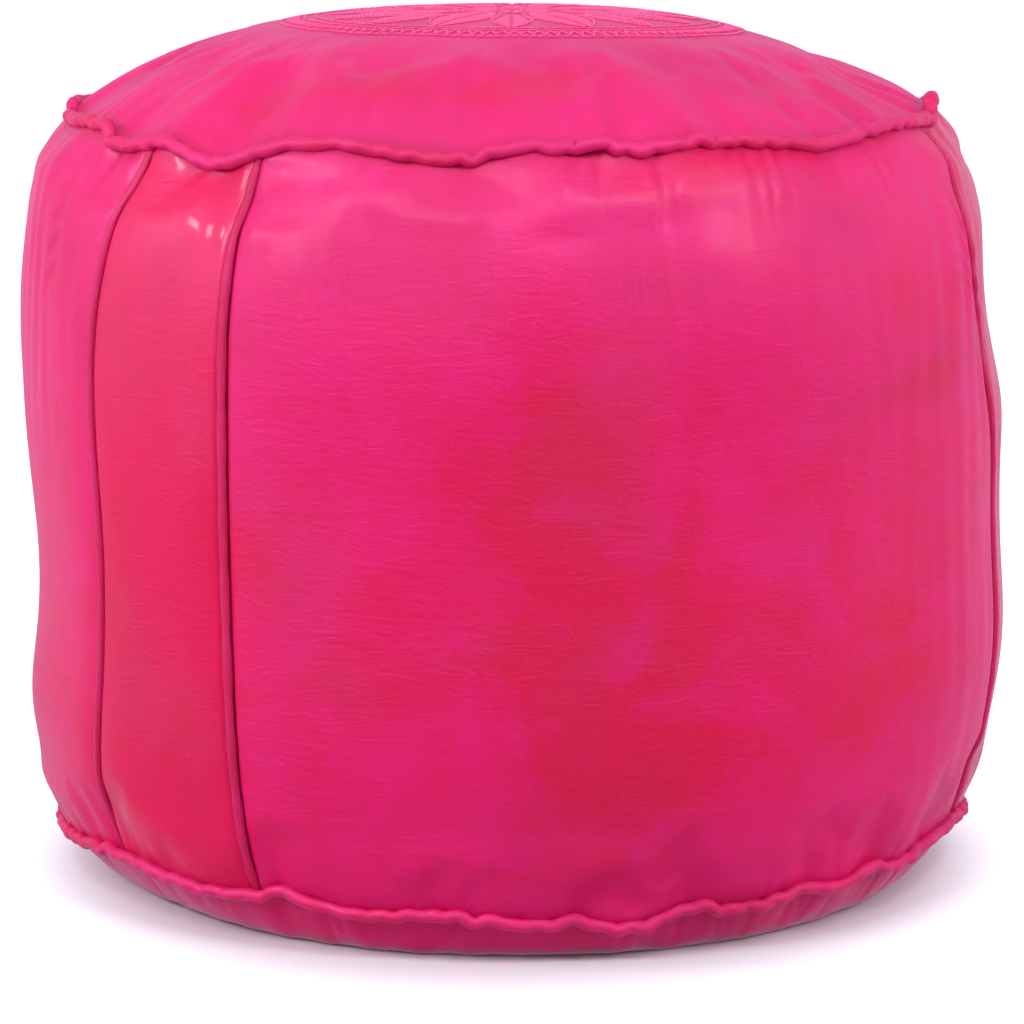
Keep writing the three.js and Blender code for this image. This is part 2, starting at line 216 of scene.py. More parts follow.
# %% [markdown]
# A mesh is made from a grid of points: rows of columns, with a quad between each four neighbours. Grids are
# quick to make with numpy, and each point can carry its own values, such as how near it is to a seam, for
# the materials to read. The Solidify modifier then gives the leather its thickness, inwards.

# %% Meshes from grids
def grid_faces(rows, columns, closed):
    """Quads of a grid of rows x columns points. A closed grid joins its last column to its first."""
    quads = columns if closed else columns - 1
    row, column = np.meshgrid(np.arange(rows - 1), np.arange(quads), indexing="ij")
    here = row * columns + column
    right = row * columns + (column + 1) % columns
    return np.stack([here, right, right + columns, here + columns], axis=-1).reshape(-1, 4)


def make_mesh(name, points, faces, values=None):
    """A smooth mesh object from points in millimetres. values holds one number or three for each point."""
    mesh = bpy.data.meshes.new(name)
    corners = (np.asarray(points).reshape(-1, 3) * MM).tolist()
    mesh.from_pydata(corners, [], faces if isinstance(faces, list) else faces.tolist())
    for key, amount in (values or {}).items():
        amount = np.asarray(amount, float)
        vector = amount.ndim == 2 and amount.shape[-1] == 3
        layer = mesh.attributes.new(key, "FLOAT_VECTOR" if vector else "FLOAT", "POINT")
        layer.data.foreach_set("vector" if vector else "value", amount.ravel())
    mesh.polygons.foreach_set("use_smooth", [True] * len(mesh.polygons))
    made = bpy.data.objects.new(name, mesh)
    bpy.context.scene.collection.objects.link(made)
    return made


def thicken(piece, thickness):
    """Gives a skin its thickness, inwards from the outer face."""
    solid = piece.modifiers.new("thickness", "SOLIDIFY")
    solid.thickness = thickness * MM
    solid.offset = -1
    solid.use_rim = True
    return piece


print("helpers for meshes are ready")

# %% [markdown]
# The leather is pushed out by the stuffing and held at its seams, which is what a cloth simulation works out
# well. A coarse tube and a coarse dome are blown up by a gentle pressure, with their seam rows pinned, and a
# slack of a few percent lets them pucker. Only the small uneven part of their movement is kept, and it is
# laid on the fine meshes later. Simulating the fine meshes themselves would take many minutes.

# %% Cloth simulation
SIM_FRAMES = 22


def blow_up(name, start, pinned_rows, pressure, slack):
    """Simulates a closed grid of points, in millimetres, and returns where they end."""
    rows, columns = start.shape[:2]
    sheet = make_mesh(name, start, grid_faces(rows, columns, True))
    pin = sheet.vertex_groups.new(name="pin")
    for row in pinned_rows:
        pin.add([int(row * columns + i) for i in range(columns)], 1, "REPLACE")
    cloth = sheet.modifiers.new("cloth", "CLOTH")
    cloth.collision_settings.use_collision = False
    skin = cloth.settings
    skin.quality = 6
    skin.mass = 0.4
    skin.vertex_group_mass = "pin"
    skin.tension_stiffness = skin.compression_stiffness = 25
    skin.shear_stiffness = 12
    skin.bending_stiffness = 2.0
    skin.tension_damping = skin.compression_damping = skin.shear_damping = 10
    skin.bending_damping = 1
    skin.air_damping = 2
    skin.use_pressure = True
    skin.uniform_pressure_force = pressure
    skin.shrink_min = -slack
    skin.effector_weights.gravity = 0
    for step in range(1, SIM_FRAMES + 1):
        bpy.context.scene.frame_set(step)
    done = sheet.evaluated_get(bpy.context.evaluated_depsgraph_get())
    end = np.zeros(rows * columns * 3)
    done.data.vertices.foreach_get("co", end)
    bpy.data.objects.remove(sheet)
    bpy.context.scene.frame_set(1)
    return end.reshape(rows, columns, 3) / MM


def close_to_ends(count, ends=0.35):
    """Shares from 0 to 1 that lie closer together at both ends, where the puckers are."""
    even = np.linspace(0, 1, count)
    return even * (1 - ends) + (1 - np.cos(np.pi * even)) / 2 * ends


SIM_COLUMNS = 280
SIM_ROWS = 50
START_SMALLER = 4.0
CLOTH_CAP = 6.0
MEDALLION = 120.0
sim_angles = np.arange(SIM_COLUMNS) / SIM_COLUMNS * 360 - 180
sim_shares = close_to_ends(SIM_ROWS)
side_push = np.zeros((SIM_ROWS, SIM_COLUMNS))
crown_push = np.zeros((SIM_ROWS, SIM_COLUMNS))
CROWN_FULLNESS = 3.6


def seam_height(angle, share):
    """Height of the side at a share of it, between its two wavy seams."""
    low = bottom_z + bottom_wave(angle)
    high = top_z + top_wave(angle)
    return low + (high - low) * share


def crown_height(angle, radius_share):
    """Height of the even crown, from 0 at the middle to 1 at its seam."""
    dome = crown_rise * (1 - radius_share ** CROWN_FULLNESS)
    return top_z + dome + top_wave(angle) * radius_share ** 5


share, angle = np.meshgrid(sim_shares, sim_angles, indexing="ij")
radius = side_radius(share) - START_SMALLER * (1 - np.abs(2 * share - 1) ** 4)
start = round_point(angle, radius, seam_height(angle, share))
end = blow_up("side_cloth", start, [0, SIM_ROWS - 1], 3.0, 0.045)
side_push = np.hypot(end[..., 0], end[..., 1]) - np.hypot(start[..., 0], start[..., 1])
side_push -= side_push.mean(axis=1, keepdims=True)
radius = top_radius * (1 - 0.97 * share)
start = round_point(angle, radius, crown_height(angle, radius / top_radius))
flat_rows = [row for row in range(SIM_ROWS) if radius[row, 0] < MEDALLION]
end = blow_up("crown_cloth", start, [0] + flat_rows, 2.0, 0.05)
crown_push = end[..., 2] - start[..., 2]
crown_push -= crown_push.mean(axis=1, keepdims=True)
side_push = CLOTH_CAP * np.tanh(side_push / CLOTH_CAP)
crown_push = CLOTH_CAP * np.tanh(crown_push / CLOTH_CAP)
print("cloth moves the side by", side_push.std().round(2), "mm")
print("cloth moves the crown by", crown_push.std().round(2), "mm")

# %% [markdown]
# The coarse result is read between its points with a B-spline, which is smooth in both directions. Straight
# lines between the points would show as facets in the shine of the leather.

# %% Reading the simulation smoothly
def spline_weights(t):
    """The four weights of a cubic B-spline at t from 0 to 1."""
    before = (3 * t ** 3 - 6 * t * t + 4) / 6
    after = (-3 * t ** 3 + 3 * t * t + 3 * t + 1) / 6
    return [(1 - t) ** 3 / 6, before, after, t ** 3 / 6]


def read_smoothly(grid, angle, share):
    """Value of a simulated grid at an angle in degrees and a share of its rows."""
    rows, columns = grid.shape
    column = (np.asarray(angle) + 180) / 360 * columns
    row = np.interp(share, sim_shares, np.arange(rows))
    column_at = np.floor(column).astype(int)
    row_at = np.floor(row).astype(int)
    total = 0
    for i, across in enumerate(spline_weights(column - column_at)):
        for j, up in enumerate(spline_weights(row - row_at)):
            picked = grid[np.clip(row_at + j - 1, 0, rows - 1), (column_at + i - 1) % columns]
            total = total + across * up * picked
    return total


print("cloth at the front", read_smoothly(side_push, 0.0, 0.5).round(3), "mm")

# %% [markdown]
# Leather gathered into a seam makes short grooves that run away from it, a centimetre or two apart. They are
# too narrow for the simulation's grid, so they are cut straight into the fine meshes: each groove has an
# angle, a length, a width, a depth and a lean.

# %% Puckers at the seams
chance = np.random.default_rng(41)


def gathers(count, length, width, depth):
    """Evenly spread grooves round the pouf, each a little off its place, with its own size."""
    step = 360 / count
    made = []
    for number in range(count):
        made.append((
            -180 + step * (number + chance.uniform(0.1, 0.9)),
            length * chance.uniform(0.5, 1.5),
            width * chance.uniform(0.7, 1.4),
            depth * chance.uniform(0.15, 1.0) ** 1.5,
            chance.uniform(-0.12, 0.12),
        ))
    return made


def grooves(angle, away, radius, places):
    """Depth of all the grooves at an angle and a distance in mm away from the seam."""
    total = np.zeros(np.broadcast(angle, away).shape)
    for at, length, width, depth, lean in places:
        across = turn_between(angle, at + lean * away * 0.5) * np.pi / 180 * radius
        total += depth * np.exp(-(across / width) ** 2 - (away / length) ** 2)
    return total


top_gathers = gathers(104, 20, 3.2, 1.3) + [
    (17.4, 34, 3.0, 1.9, 0.03), (31.5, 26, 2.4, 1.4, -0.05), (33.2, 30, 2.4, 1.0, 0.02),
    (48.5, 24, 2.6, 1.7, 0.10), (-36.5, 40, 6.0, 1.6, 0.02), (-59.0, 30, 4.0, 1.8, -0.04),
    (10.2, 22, 3.0, 1.5, 0.0), (69.5, 46, 4.0, 1.8, 0.05), (76.0, 40, 5.0, 2.0, -0.05),
]
bottom_gathers = gathers(80, 16, 3.6, 0.9)
rim_gathers = gathers(150, 15, 2.6, 1.3)
crown_gathers = gathers(92, 24, 3.6, 1.1)
print(len(top_gathers), "gathers under the top seam,", len(rim_gathers), "on the base rim")

# %% [markdown]
# Between the seams the leather shows long soft drapes, which run up and down where the stuffing is slack,
# and fine creases. Sums of sine waves with random phases give both. A patch list says where each shows.

# %% Drapes and creases
def ripples(angle, share, seed, waves, rise):
    """A random mix of sine waves round the pouf. waves is the range of their counts, rise how they lean."""
    draw = np.random.default_rng(seed)
    total = 0
    for _ in range(14):
        count = draw.integers(waves[0], waves[1])
        lean = draw.uniform(-rise, rise)
        total = total + np.sin(np.radians(angle) * count + lean * share * 2 * np.pi + draw.uniform(0, 6.28))
    return total / math.sqrt(7)


DRAPE_PATCHES = [
    (54, 0.82, 12, 0.16, 0.40), (78, 0.72, 14, 0.22, 0.45), (-74, 0.78, 14, 0.20, 0.35),
    (-95, 0.6, 14, 0.3, 0.4), (125, 0.8, 16, 0.2, 0.4), (175, 0.78, 20, 0.2, 0.35),
    (-125, 0.82, 14, 0.2, 0.4), (20, 0.88, 10, 0.10, 0.22), (-20, 0.86, 14, 0.10, 0.2),
    (66, 0.3, 14, 0.2, 0.2),
]
CREASE_PATCHES = [
    (14.5, 0.88, 3.2, 0.075, 0.34), (20, 0.90, 3.0, 0.05, 0.12), (64, 0.82, 8, 0.12, 0.20),
    (-66, 0.80, 8, 0.16, 0.18), (-24, 0.83, 7, 0.05, 0.12), (100, 0.8, 10, 0.12, 0.2),
]


def side_folds(angle, share):
    """Everything that lies on the even side, in millimetres outwards."""
    radius = side_radius(share)
    below = (1 - share) * side_height
    above = share * side_height
    held = (1 - np.abs(2 * share - 1) ** 12)
    folds = lumps(angle, share, SIDE_LUMPS)
    folds = folds + read_smoothly(side_push, angle, share)
    folds = folds + ripples(angle, share, 5, (3, 17), 1.6) * 0.55 * held
    folds = folds + lumps(angle, share, DRAPE_PATCHES) * ripples(angle, share, 7, (34, 110), 2.2) * held
    folds = folds + lumps(angle, share, CREASE_PATCHES) * ripples(angle, share, 9, (330, 470), 2.5)
    folds = folds - grooves(angle, below, radius, top_gathers)
    folds = folds - grooves(angle, above, radius, bottom_gathers)
    return folds


near_top_fold = side_folds(np.array([0.0, 17.4]), np.array([0.95, 0.95]))
print("folds at the front, near the top:", near_top_fold.round(2), "mm")

# %% [markdown]
# An upright seam wanders a little on its way up, and the panel beside it rolls over into the seam. Each
# side piece runs from one seam to the next. Its edge dives by a few millimetres where it is sewn, and the
# leather is pulled flatter for about a centimetre beside that.

# %% How the seams wander
SEAM_DRIFT = {
    "seam_welt_1": [(0, -2.6), (0.09, -2.2), (0.25, 0.4), (0.45, 0.7), (0.6, -0.4), (0.72, -0.7),
                    (0.87, 1.0), (1, 3.0)],
    "seam_welt_2": [(0, 0.9), (0.2, 0.2), (0.5, -0.4), (0.8, -0.3), (1, 0.3)],
    "seam_welt_3": [(0, 1.0), (0.3, 1.6), (0.55, 2.0), (0.66, -1.0), (0.8, -5.0), (1, -6.0)],
    "seam_welt_4": [(0, -1.5), (0.4, 0.5), (0.7, 0.5), (1, -1.0)],
    "seam_welt_5": [(0, 1.2), (0.3, -0.5), (0.7, 0.6), (1, 1.8)],
    "seam_welt_6": [(0, -0.6), (0.4, 0.8), (0.8, -0.5), (1, -1.5)],
}


def seam_line(number, share):
    """Angle of an upright seam at each share of the height. The drift is rounded off between its points."""
    known = np.array(SEAM_DRIFT[WELTS[number]])
    at = np.asarray(share)
    offsets = [-0.06, -0.03, 0, 0.03, 0.06]
    smooth = sum(np.interp(at + o, known[:, 0], known[:, 1]) for o in offsets) / len(offsets)
    return seam_angles[number] + smooth


print("first seam runs from", seam_line(0, 0.0).round(1), "to", seam_line(0, 1.0).round(1), "degrees")

# %% [markdown]
# A list says where the dye took redder, on the same kind of places as the lumps. The loop then makes a strip
# and a panel for each third of the side, and hides the CAD nodes that they stand for.

# %% Side panels and strips
COLUMN_STEP = 1.8
ROW_COUNT = 176
SEAM_HALF = 0.3
TUCK = 1.5
TUCK_REACH = 1.3
PULL_REACH = 10
row_shares = close_to_ends(ROW_COUNT)


def near(distance, reach):
    """1 at a seam, fading to 0 over the reach, in millimetres."""
    return np.exp(-(distance / reach) ** 2)


BLUSH = [
    (9, 0.46, 13, 0.26, 0.62), (12, 0.25, 17, 0.15, 0.62), (4, 0.60, 8, 0.10, 0.3),
    (44, 0.30, 14, 0.12, 0.6), (38, 0.58, 13, 0.14, 0.3), (27, 0.97, 22, 0.06, 0.35),
    (56, 0.62, 9, 0.20, 0.35), (-8, 0.50, 12, 0.14, 0.2), (-42, 0.35, 30, 0.3, 0.35),
    (-84, 0.2, 20, 0.2, 0.3), (110, 0.5, 14, 0.2, 0.6), (150, 0.3, 16, 0.14, 0.6),
    (172, 0.7, 12, 0.12, 0.4), (-95, 0.35, 12, 0.2, 0.5),
    (-128, 0.55, 16, 0.18, 0.7), (-112, 0.8, 10, 0.1, 0.3),
]


def side_piece(name, left, right, roll, pull):
    """One panel or strip between two upright seams, given by their numbers."""
    width_turn = (seam_angles[right] - seam_angles[left]) % 360
    columns = int(width_turn * np.pi / 180 * belly_radius / COLUMN_STEP)
    across = close_to_ends(columns, 0.12)
    share, part = np.meshgrid(row_shares, across, indexing="ij")
    start = seam_line(left, share)
    span = (seam_line(right, share) - start) % 360
    radius = side_radius(share)
    half = SEAM_HALF / radius * 180 / np.pi
    angle = start + half + (span - 2 * half) * part
    from_left = (angle - start - half) * np.pi / 180 * radius
    from_right = (start + span - half - angle) * np.pi / 180 * radius
    edge = np.minimum(from_left, from_right)
    fade = 0.25 + 0.75 * (1 - np.abs(2 * share - 1) ** 10)
    tucked = roll * np.exp(-np.maximum(edge - TUCK, 0) / TUCK_REACH)
    pulled = pull * (near(from_left, PULL_REACH) + near(from_right, PULL_REACH)) * fade
    radius = radius + side_folds(angle, share) - (tucked + pulled)
    points = round_point(angle, radius, seam_height(angle, share))
    below = (1 - share) * side_height
    above = share * side_height
    # Painted shade: darker colour along the upright seams and just under both pipings, where shade falls.
    seam_shade = np.clip(near(edge, 1.6) + 0.75 * near(below, 5.0) + 0.6 * near(above, 5.0), 0, 1)
    lay = np.stack([angle * np.pi / 180 * belly_radius, share * side_height, 0 * share], axis=-1)
    blush = lumps(angle, share, BLUSH)
    values = {"painted_seam_shade": seam_shade.ravel(), "lay": lay.reshape(-1, 3), "blush": blush.ravel()}
    piece = make_mesh(name, points, grid_faces(ROW_COUNT, columns, False), values)
    thicken(piece, LEATHER)
    print(name, ROW_COUNT, "x", columns, "points")
    return piece


panels = []
strips = []
for number in range(3):
    strip = side_piece("strip_%d" % (number + 1), 2 * number, 2 * number + 1, 2.2, 0.5)
    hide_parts("side_strip_%d" % (number + 1))
    strips.append(strip)
    panel = side_piece("panel_%d" % (number + 1), 2 * number + 1, (2 * number + 2) % 6, 1.7, 1.6)
    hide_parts("side_panel_%d" % (number + 1))
    panels.append(panel)

# %% [markdown]
# Pipings, welts and cords are all long thin rolls, so one helper sweeps an oval along a line of points. At
# each point it needs two directions across the line, and the oval may change size along the way.

# %% Rolls along a line
def swept(name, path, out, up, half_out, half_up, closed, around=14, values=None):
    """A roll along a path in mm. out and up are unit vectors across it, half_out and half_up half sizes."""
    turn = np.arange(around) / around * 2 * np.pi
    ring_out = np.cos(turn)[None, :, None] * out[:, None, :] * half_out[:, None, None]
    ring_up = np.sin(turn)[None, :, None] * up[:, None, :] * half_up[:, None, None]
    points = path[:, None, :] + ring_out + ring_up
    count = len(path)
    faces = grid_faces(count, around, True)[:, ::-1]
    if closed:
        last = (count - 1) * around + np.arange(around)
        first = np.arange(around)
        joined = np.stack([last, first, np.roll(first, -1), np.roll(last, -1)], axis=-1)
        faces = np.concatenate([faces, joined])
        faces = faces.tolist()
    else:
        end = [(count - 1) * around + i for i in range(around)]
        faces = faces.tolist() + [list(range(around))[::-1], end]
    run = np.concatenate([[0], np.cumsum(np.linalg.norm(np.diff(path, axis=0), axis=1))])
    lay = np.stack(np.broadcast_arrays(run[:, None], turn[None, :] * half_up.mean(), 0.0), axis=-1)
    carried = {"lay": lay.reshape(-1, 3)}
    for key, amount in (values or {}).items():
        carried[key] = np.repeat(amount, around)
    return make_mesh(name, points, faces, carried)


def frame_along(path, outward, closed):
    """Unit vectors across a path: one close to outward, and one square to both."""
    if closed:
        ahead = np.roll(path, -1, axis=0) - np.roll(path, 1, axis=0)
    else:
        ahead = np.gradient(path, axis=0)
    ahead /= np.linalg.norm(ahead, axis=1, keepdims=True)
    out = outward - (outward * ahead).sum(axis=1, keepdims=True) * ahead
    out /= np.linalg.norm(out, axis=1, keepdims=True)
    return out, np.cross(ahead, out)


print("helpers for rolls are ready")

# %% [markdown]
# A welt is a folded strip of leather that is caught in an upright seam and shows as a slim ridge. The dark
# line to its right is the gap where the next panel dives into the seam, deepened by painted shade.

# %% Seam welts
WELT_HALF_WIDTH = 2.5
WELT_HALF_HEIGHT = 1.9
WELT_DEPTH = 1.6
welts = []
for number, node in enumerate(WELTS):
    share = np.linspace(0.0, 1.0, 230)
    turn = seam_line(number, share) - 0.12
    radius = side_radius(share) + side_folds(turn, share) - WELT_DEPTH
    radius = radius - 1.2 * (np.exp(-(share / 0.02) ** 2) + np.exp(-((1 - share) / 0.02) ** 2))
    path = round_point(turn, radius, seam_height(turn, share))
    outward = round_point(turn, 1.0 + 0 * share, 0.0)
    out, up = frame_along(path, outward, False)
    wobble = 1 + 0.07 * np.sin(share * 61 + number) + 0.05 * np.sin(share * 143 + 2 * number)
    # Painted shade: the whole welt is darkened, as it lies sunk in the seam, and its blush of 0.5 makes it
    # redder.
    painted_shade_and_dye = {"painted_seam_shade": 0.25 + 0.0 * share, "blush": 0.5 + 0.0 * share}
    welt = swept("welt_%d" % (number + 1), path, out, up, WELT_HALF_HEIGHT * wobble,
                 WELT_HALF_WIDTH * wobble, False, 14, painted_shade_and_dye)
    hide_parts(node)
    welts.append(welt)
print(len(welts), "welts of", len(share), "rings each")

# %% [markdown]
# The piping is a leather strip folded round a cotton cord and sewn in with the seam. It follows the waves,
# and where the leather was eased too hard it piles up in a small fold or a kink. The kinks are bends of the
# same path, so the roll stays one piece. The cover is hollow, with the cord inside it.

# %% Piping paths
PIPING_STEP = 0.4
PIPING_WOBBLE = 0.45
PIPING_LEATHER = 0.9
CORD_ROOM = 1.1


def piping_path(seam_wave, radius, height, kinks):
    """Points along a piping, with listed kinks: (angle, spread, turn, out, rise)."""
    angle = np.arange(-180, 180, PIPING_STEP)
    turn = angle.copy()
    out = np.zeros(len(angle))
    rise = np.zeros(len(angle))
    for at, spread, along, outward, upward in kinks:
        near_kink = turn_between(angle, at) / spread
        bell = np.exp(-near_kink ** 2)
        turn = turn + along * near_kink * bell
        out = out + outward * bell
        rise = rise + upward * bell
    out = out + PIPING_WOBBLE * ripples(angle, 0.0, 61, (20, 130), 0)
    rise = rise + PIPING_WOBBLE * ripples(angle, 0.0, 62, (24, 130), 0)
    share = (height - bottom_z) / side_height
    follow = lumps(angle, share, SIDE_LUMPS)
    path = round_point(turn, radius + out + follow, height + seam_wave(angle) + rise)
    return path, round_point(angle, 1.0 + 0 * angle, 0.0)


def piping(name, path, outward, size, cover_node, cord_node):
    """A wavy piping cover, hollow, with a twisted cord inside it."""
    out, up = frame_along(path, outward, True)
    along = np.arange(len(path))
    wobble = 1 + 0.05 * np.sin(along * 0.71) + 0.05 * np.sin(along * 0.31 + 1)
    wobble = wobble + 0.03 * np.sin(along * 1.37)
    painted_shade_and_dye = {"painted_seam_shade": 0.0 * along, "blush": 0.25 + 0.25 * np.sin(along * 0.05)}
    cover = swept(name, path, out, up, size * wobble, size * wobble * 0.96, True, 18, painted_shade_and_dye)
    thicken(cover, PIPING_LEATHER)
    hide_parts(cover_node)
    core = 0 * along + (size - CORD_ROOM)
    cord = swept("cord_in_" + name, path, out, up, core, core, True, 12)
    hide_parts(cord_node)
    return cover, cord


TOP_KINKS = [
    (9.5, 1.3, 1.6, 1.4, 2.2), (12.3, 1.0, -0.6, 0.4, -0.8), (-59.5, 1.5, 1.3, 1.0, -1.0),
    (-85, 1.8, 1.8, 1.2, -1.5), (74.0, 1.6, 2.6, 1.0, -2.5), (133, 1.6, 1.5, 1.0, 1.5),
    (-150, 1.6, 1.6, 1.0, 1.0),
]
BOTTOM_KINKS = [
    (-28.5, 1.0, 0.6, 0.8, 1.0), (10, 1.2, 0.8, 0.4, 0.6), (48.5, 1.2, 0.8, 0.6, 0.8),
    (-164, 1.4, 1.0, 0.8, 0.8),
]
TOP_PIPING_SIZE = 2.6
BOTTOM_PIPING_SIZE = 2.3
top_path, outward = piping_path(top_wave, top_piping_radius, top_z, TOP_KINKS)
top_piping, top_cord = piping("top_piping", top_path, outward, TOP_PIPING_SIZE, "top_piping_cover",
                               "top_piping_cord")
bottom_path, outward = piping_path(bottom_wave, bottom_piping_radius, bottom_z, BOTTOM_KINKS)
bottom_piping, bottom_cord = piping("bottom_piping", bottom_path, outward, BOTTOM_PIPING_SIZE,
                                    "bottom_piping_cover", "bottom_piping_cord")
print("pipings of", len(top_path), "rings")

# %% [markdown]
# The crown is one disc of leather. Inside the stitched medallion it is held flat, and outside that the spare
# leather of a dome gathers into soft pleats that run out to the seam. Pleats are wide and shallow near the
# medallion and narrower at the seam, because they are measured in millimetres and not in degrees.

# %% Crown
CROWN_COLUMNS = 620
CROWN_ROWS = 92
PLEATS = [
    (-63, 8, -2.6), (-54, 9, 2.0), (-43, 7, -1.8), (-33, 9, 1.3), (-22, 8, -1.6), (-8, 10, 1.1),
    (4, 8, -1.4),
    (17, 9, 1.2), (28, 8, -1.5), (41, 9, 1.3), (53, 7, -2.0), (66, 9, 1.6), (79, 8, -1.8), (93, 9, 1.4),
    (108, 8, -1.7), (123, 9, 1.6), (139, 8, -1.5), (154, 10, 1.4), (169, 8, -1.7), (-176, 9, 1.3),
    (-160, 8, -1.6), (-144, 10, 1.4), (-129, 8, -1.6), (-115, 9, 1.5), (-101, 8, -1.9), (-88, 9, 1.8),
    (-75, 8, 1.4),
]
PLEAT_DEPTH = 1.5
CROWN_TILT = [(-90, 0.84, 50, 0.20, -2.5), (90, 0.70, 55, 0.28, -6.5), (82, 0.84, 34, 0.14, -4.0),
              (180, 0.8, 50, 0.2, -2.0)]


def crown_surface(angle, radius):
    """Height of the crown in millimetres, with its pleats, at an angle and a radius."""
    share = np.clip(radius / top_radius, 0, 1)
    pleated = np.clip((radius - MEDALLION) / 45, 0, 1) ** 1.2 * np.clip(1.35 - share, 0, 1) ** 0.35
    arc = np.radians(1) * np.maximum(radius, 1)
    folds = np.zeros(np.broadcast(angle, radius).shape)
    for at, width, size in PLEATS:
        across = turn_between(angle, at) * arc / (width * (0.7 + share))
        folds = folds + PLEAT_DEPTH * size * np.exp(-across ** 2)
    folds = folds * pleated
    folds = folds + lumps(angle, share, CROWN_TILT)
    away = np.maximum(top_radius - radius, 0)
    folds = folds - grooves(angle, away, radius, crown_gathers)
    fine = ripples(angle, share, 21, (30, 90), 0.9) * 0.2 + ripples(angle, share, 22, (3, 9), 1.2) * 0.6
    folds = folds + fine * pleated
    rows_down = np.clip((top_radius - radius) / (0.97 * top_radius), 0, 1)
    folds = folds + read_smoothly(crown_push, angle, rows_down) * pleated
    ring = np.exp(-((radius - MEDALLION) / 3.0) ** 2)
    return crown_height(angle, share) + folds * np.clip(away / 6 + 0.1, 0, 1) - 0.5 * ring


crown_turns = np.arange(CROWN_COLUMNS) / CROWN_COLUMNS * 360 - 180
share, angle = np.meshgrid(close_to_ends(CROWN_ROWS, 0.2), crown_turns, indexing="ij")
radius = (top_radius + 0.4) * (1 - 0.985 * share)
follow = lumps(angle, 1.0 + 0 * angle, SIDE_LUMPS) * (radius / top_radius) ** 3
points = round_point(angle, radius + follow, crown_surface(angle, radius))
middle = np.array([[0.0, 0.0, points[-1, :, 2].mean()]])
all_points = np.concatenate([points.reshape(-1, 3), middle])
faces = grid_faces(CROWN_ROWS, CROWN_COLUMNS, True).tolist()
last = (CROWN_ROWS - 1) * CROWN_COLUMNS
centre = CROWN_ROWS * CROWN_COLUMNS
faces += [[last + i, last + (i + 1) % CROWN_COLUMNS, centre] for i in range(CROWN_COLUMNS)]
edge = top_radius - radius
CROWN_BLUSH = [
    (-12, 0.80, 30, 0.10, 0.5), (-40, 0.9, 12, 0.1, 0.35), (60, 0.85, 20, 0.1, 0.3),
    (150, 0.8, 40, 0.12, 0.5),
]
# Painted shade: the crown is darkened within a few millimetres of its seam, under the piping.
seam_shade = np.append((0.8 * near(edge, 5.5)).ravel(), 0)
blush = np.append(lumps(angle, radius / top_radius, CROWN_BLUSH).ravel(), 0)
crown = make_mesh("crown", all_points, faces, {
    "painted_seam_shade": seam_shade,
    "blush": blush,
    "lay": all_points * [1, 1, 0],
})
thicken(crown, LEATHER)
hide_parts("top_panel")
print("crown", len(all_points), "points")

# %% [markdown]
# The embroidery has hundreds of stitches and the zip has two rows of teeth. Each of them is one small closed
# roll, and this helper joins many such rolls into a single mesh, which Blender handles far faster than
# hundreds of objects.

# %% Many small rolls in one mesh
def many_rolls(name, points):
    """One mesh of many small closed rolls. points holds (rolls, rings, around, 3) places in mm."""
    count, rings, around = points.shape[:3]
    size = rings * around
    single = grid_faces(rings, around, True)[:, ::-1]
    faces = (single[None] + (np.arange(count) * size)[:, None, None]).reshape(-1, 4).tolist()
    faces += [[k * size + i for i in range(around)] for k in range(count)]
    faces += [[(k + 1) * size - around + i for i in range(around)][::-1] for k in range(count)]
    run = np.linalg.norm(points.mean(axis=2) - points[:, :1].mean(axis=2), axis=2)[:, :, None]
    turn = np.arange(around) / around * 2 * np.pi
    number = np.arange(count)[:, None, None]
    lay = np.stack(np.broadcast_arrays(run, turn[None, None, :], number), axis=-1)
    return make_mesh(name, points, faces, {"lay": lay.reshape(-1, 3)})


print("helper for stitches and teeth is ready")

# %% [markdown]
# The medallion is hand embroidery. Each stitch is a short raised thread: a slim lens that lies on the
# leather, highest in its middle. Satin stitches side by side fill the petals, and chain stitches end to end
# draw the rings. The design is a plain geometric rosette.

# %% Stitches
THREAD_WIDTH = 1.4
THREAD_HEIGHT = 0.7


def stitch_mesh(name, starts, ends, width, height):
    """Many stitches as one mesh. starts and ends are flat places (x, y) in millimetres on the crown."""
    starts = np.asarray(starts, float)
    ends = np.asarray(ends, float)
    count = len(starts)
    along = np.array([0.0, 0.12, 0.35, 0.65, 0.88, 1.0])
    swell = np.array([0.25, 0.8, 1.0, 1.0, 0.8, 0.25])
    turn = np.arange(6) / 6 * 2 * np.pi
    centre = starts[:, None] * (1 - along)[None, :, None] + ends[:, None] * along[None, :, None]
    ahead = ends - starts
    ahead /= np.linalg.norm(ahead, axis=1, keepdims=True)
    aside = np.stack([-ahead[:, 1], ahead[:, 0]], axis=1)
    offset = np.cos(turn)[None, None, :] * swell[None, :, None] * width / 2
    flat = centre[:, :, None, :] + aside[:, None, None, :] * offset[..., None]
    angle = np.degrees(np.arctan2(flat[..., 0], -flat[..., 1]))
    ground = crown_surface(angle, np.hypot(flat[..., 0], flat[..., 1]))
    lift = (np.sin(turn)[None, None, :] * 0.5 + 0.42) * swell[None, :, None] * height
    points = np.concatenate([flat, (ground + lift)[..., None]], axis=-1)
    return many_rolls(name, points)


def polar(angle, radius):
    """Flat place on the crown from an angle in degrees and a radius."""
    return [radius * math.sin(math.radians(angle)), -radius * math.cos(math.radians(angle))]


def chain(radius, length, starts, ends):
    """Adds a ring of stitches end to end."""
    count = int(2 * math.pi * radius / length)
    for number in range(count):
        starts.append(polar(360 * number / count, radius))
        ends.append(polar(360 * (number + 0.86) / count, radius))


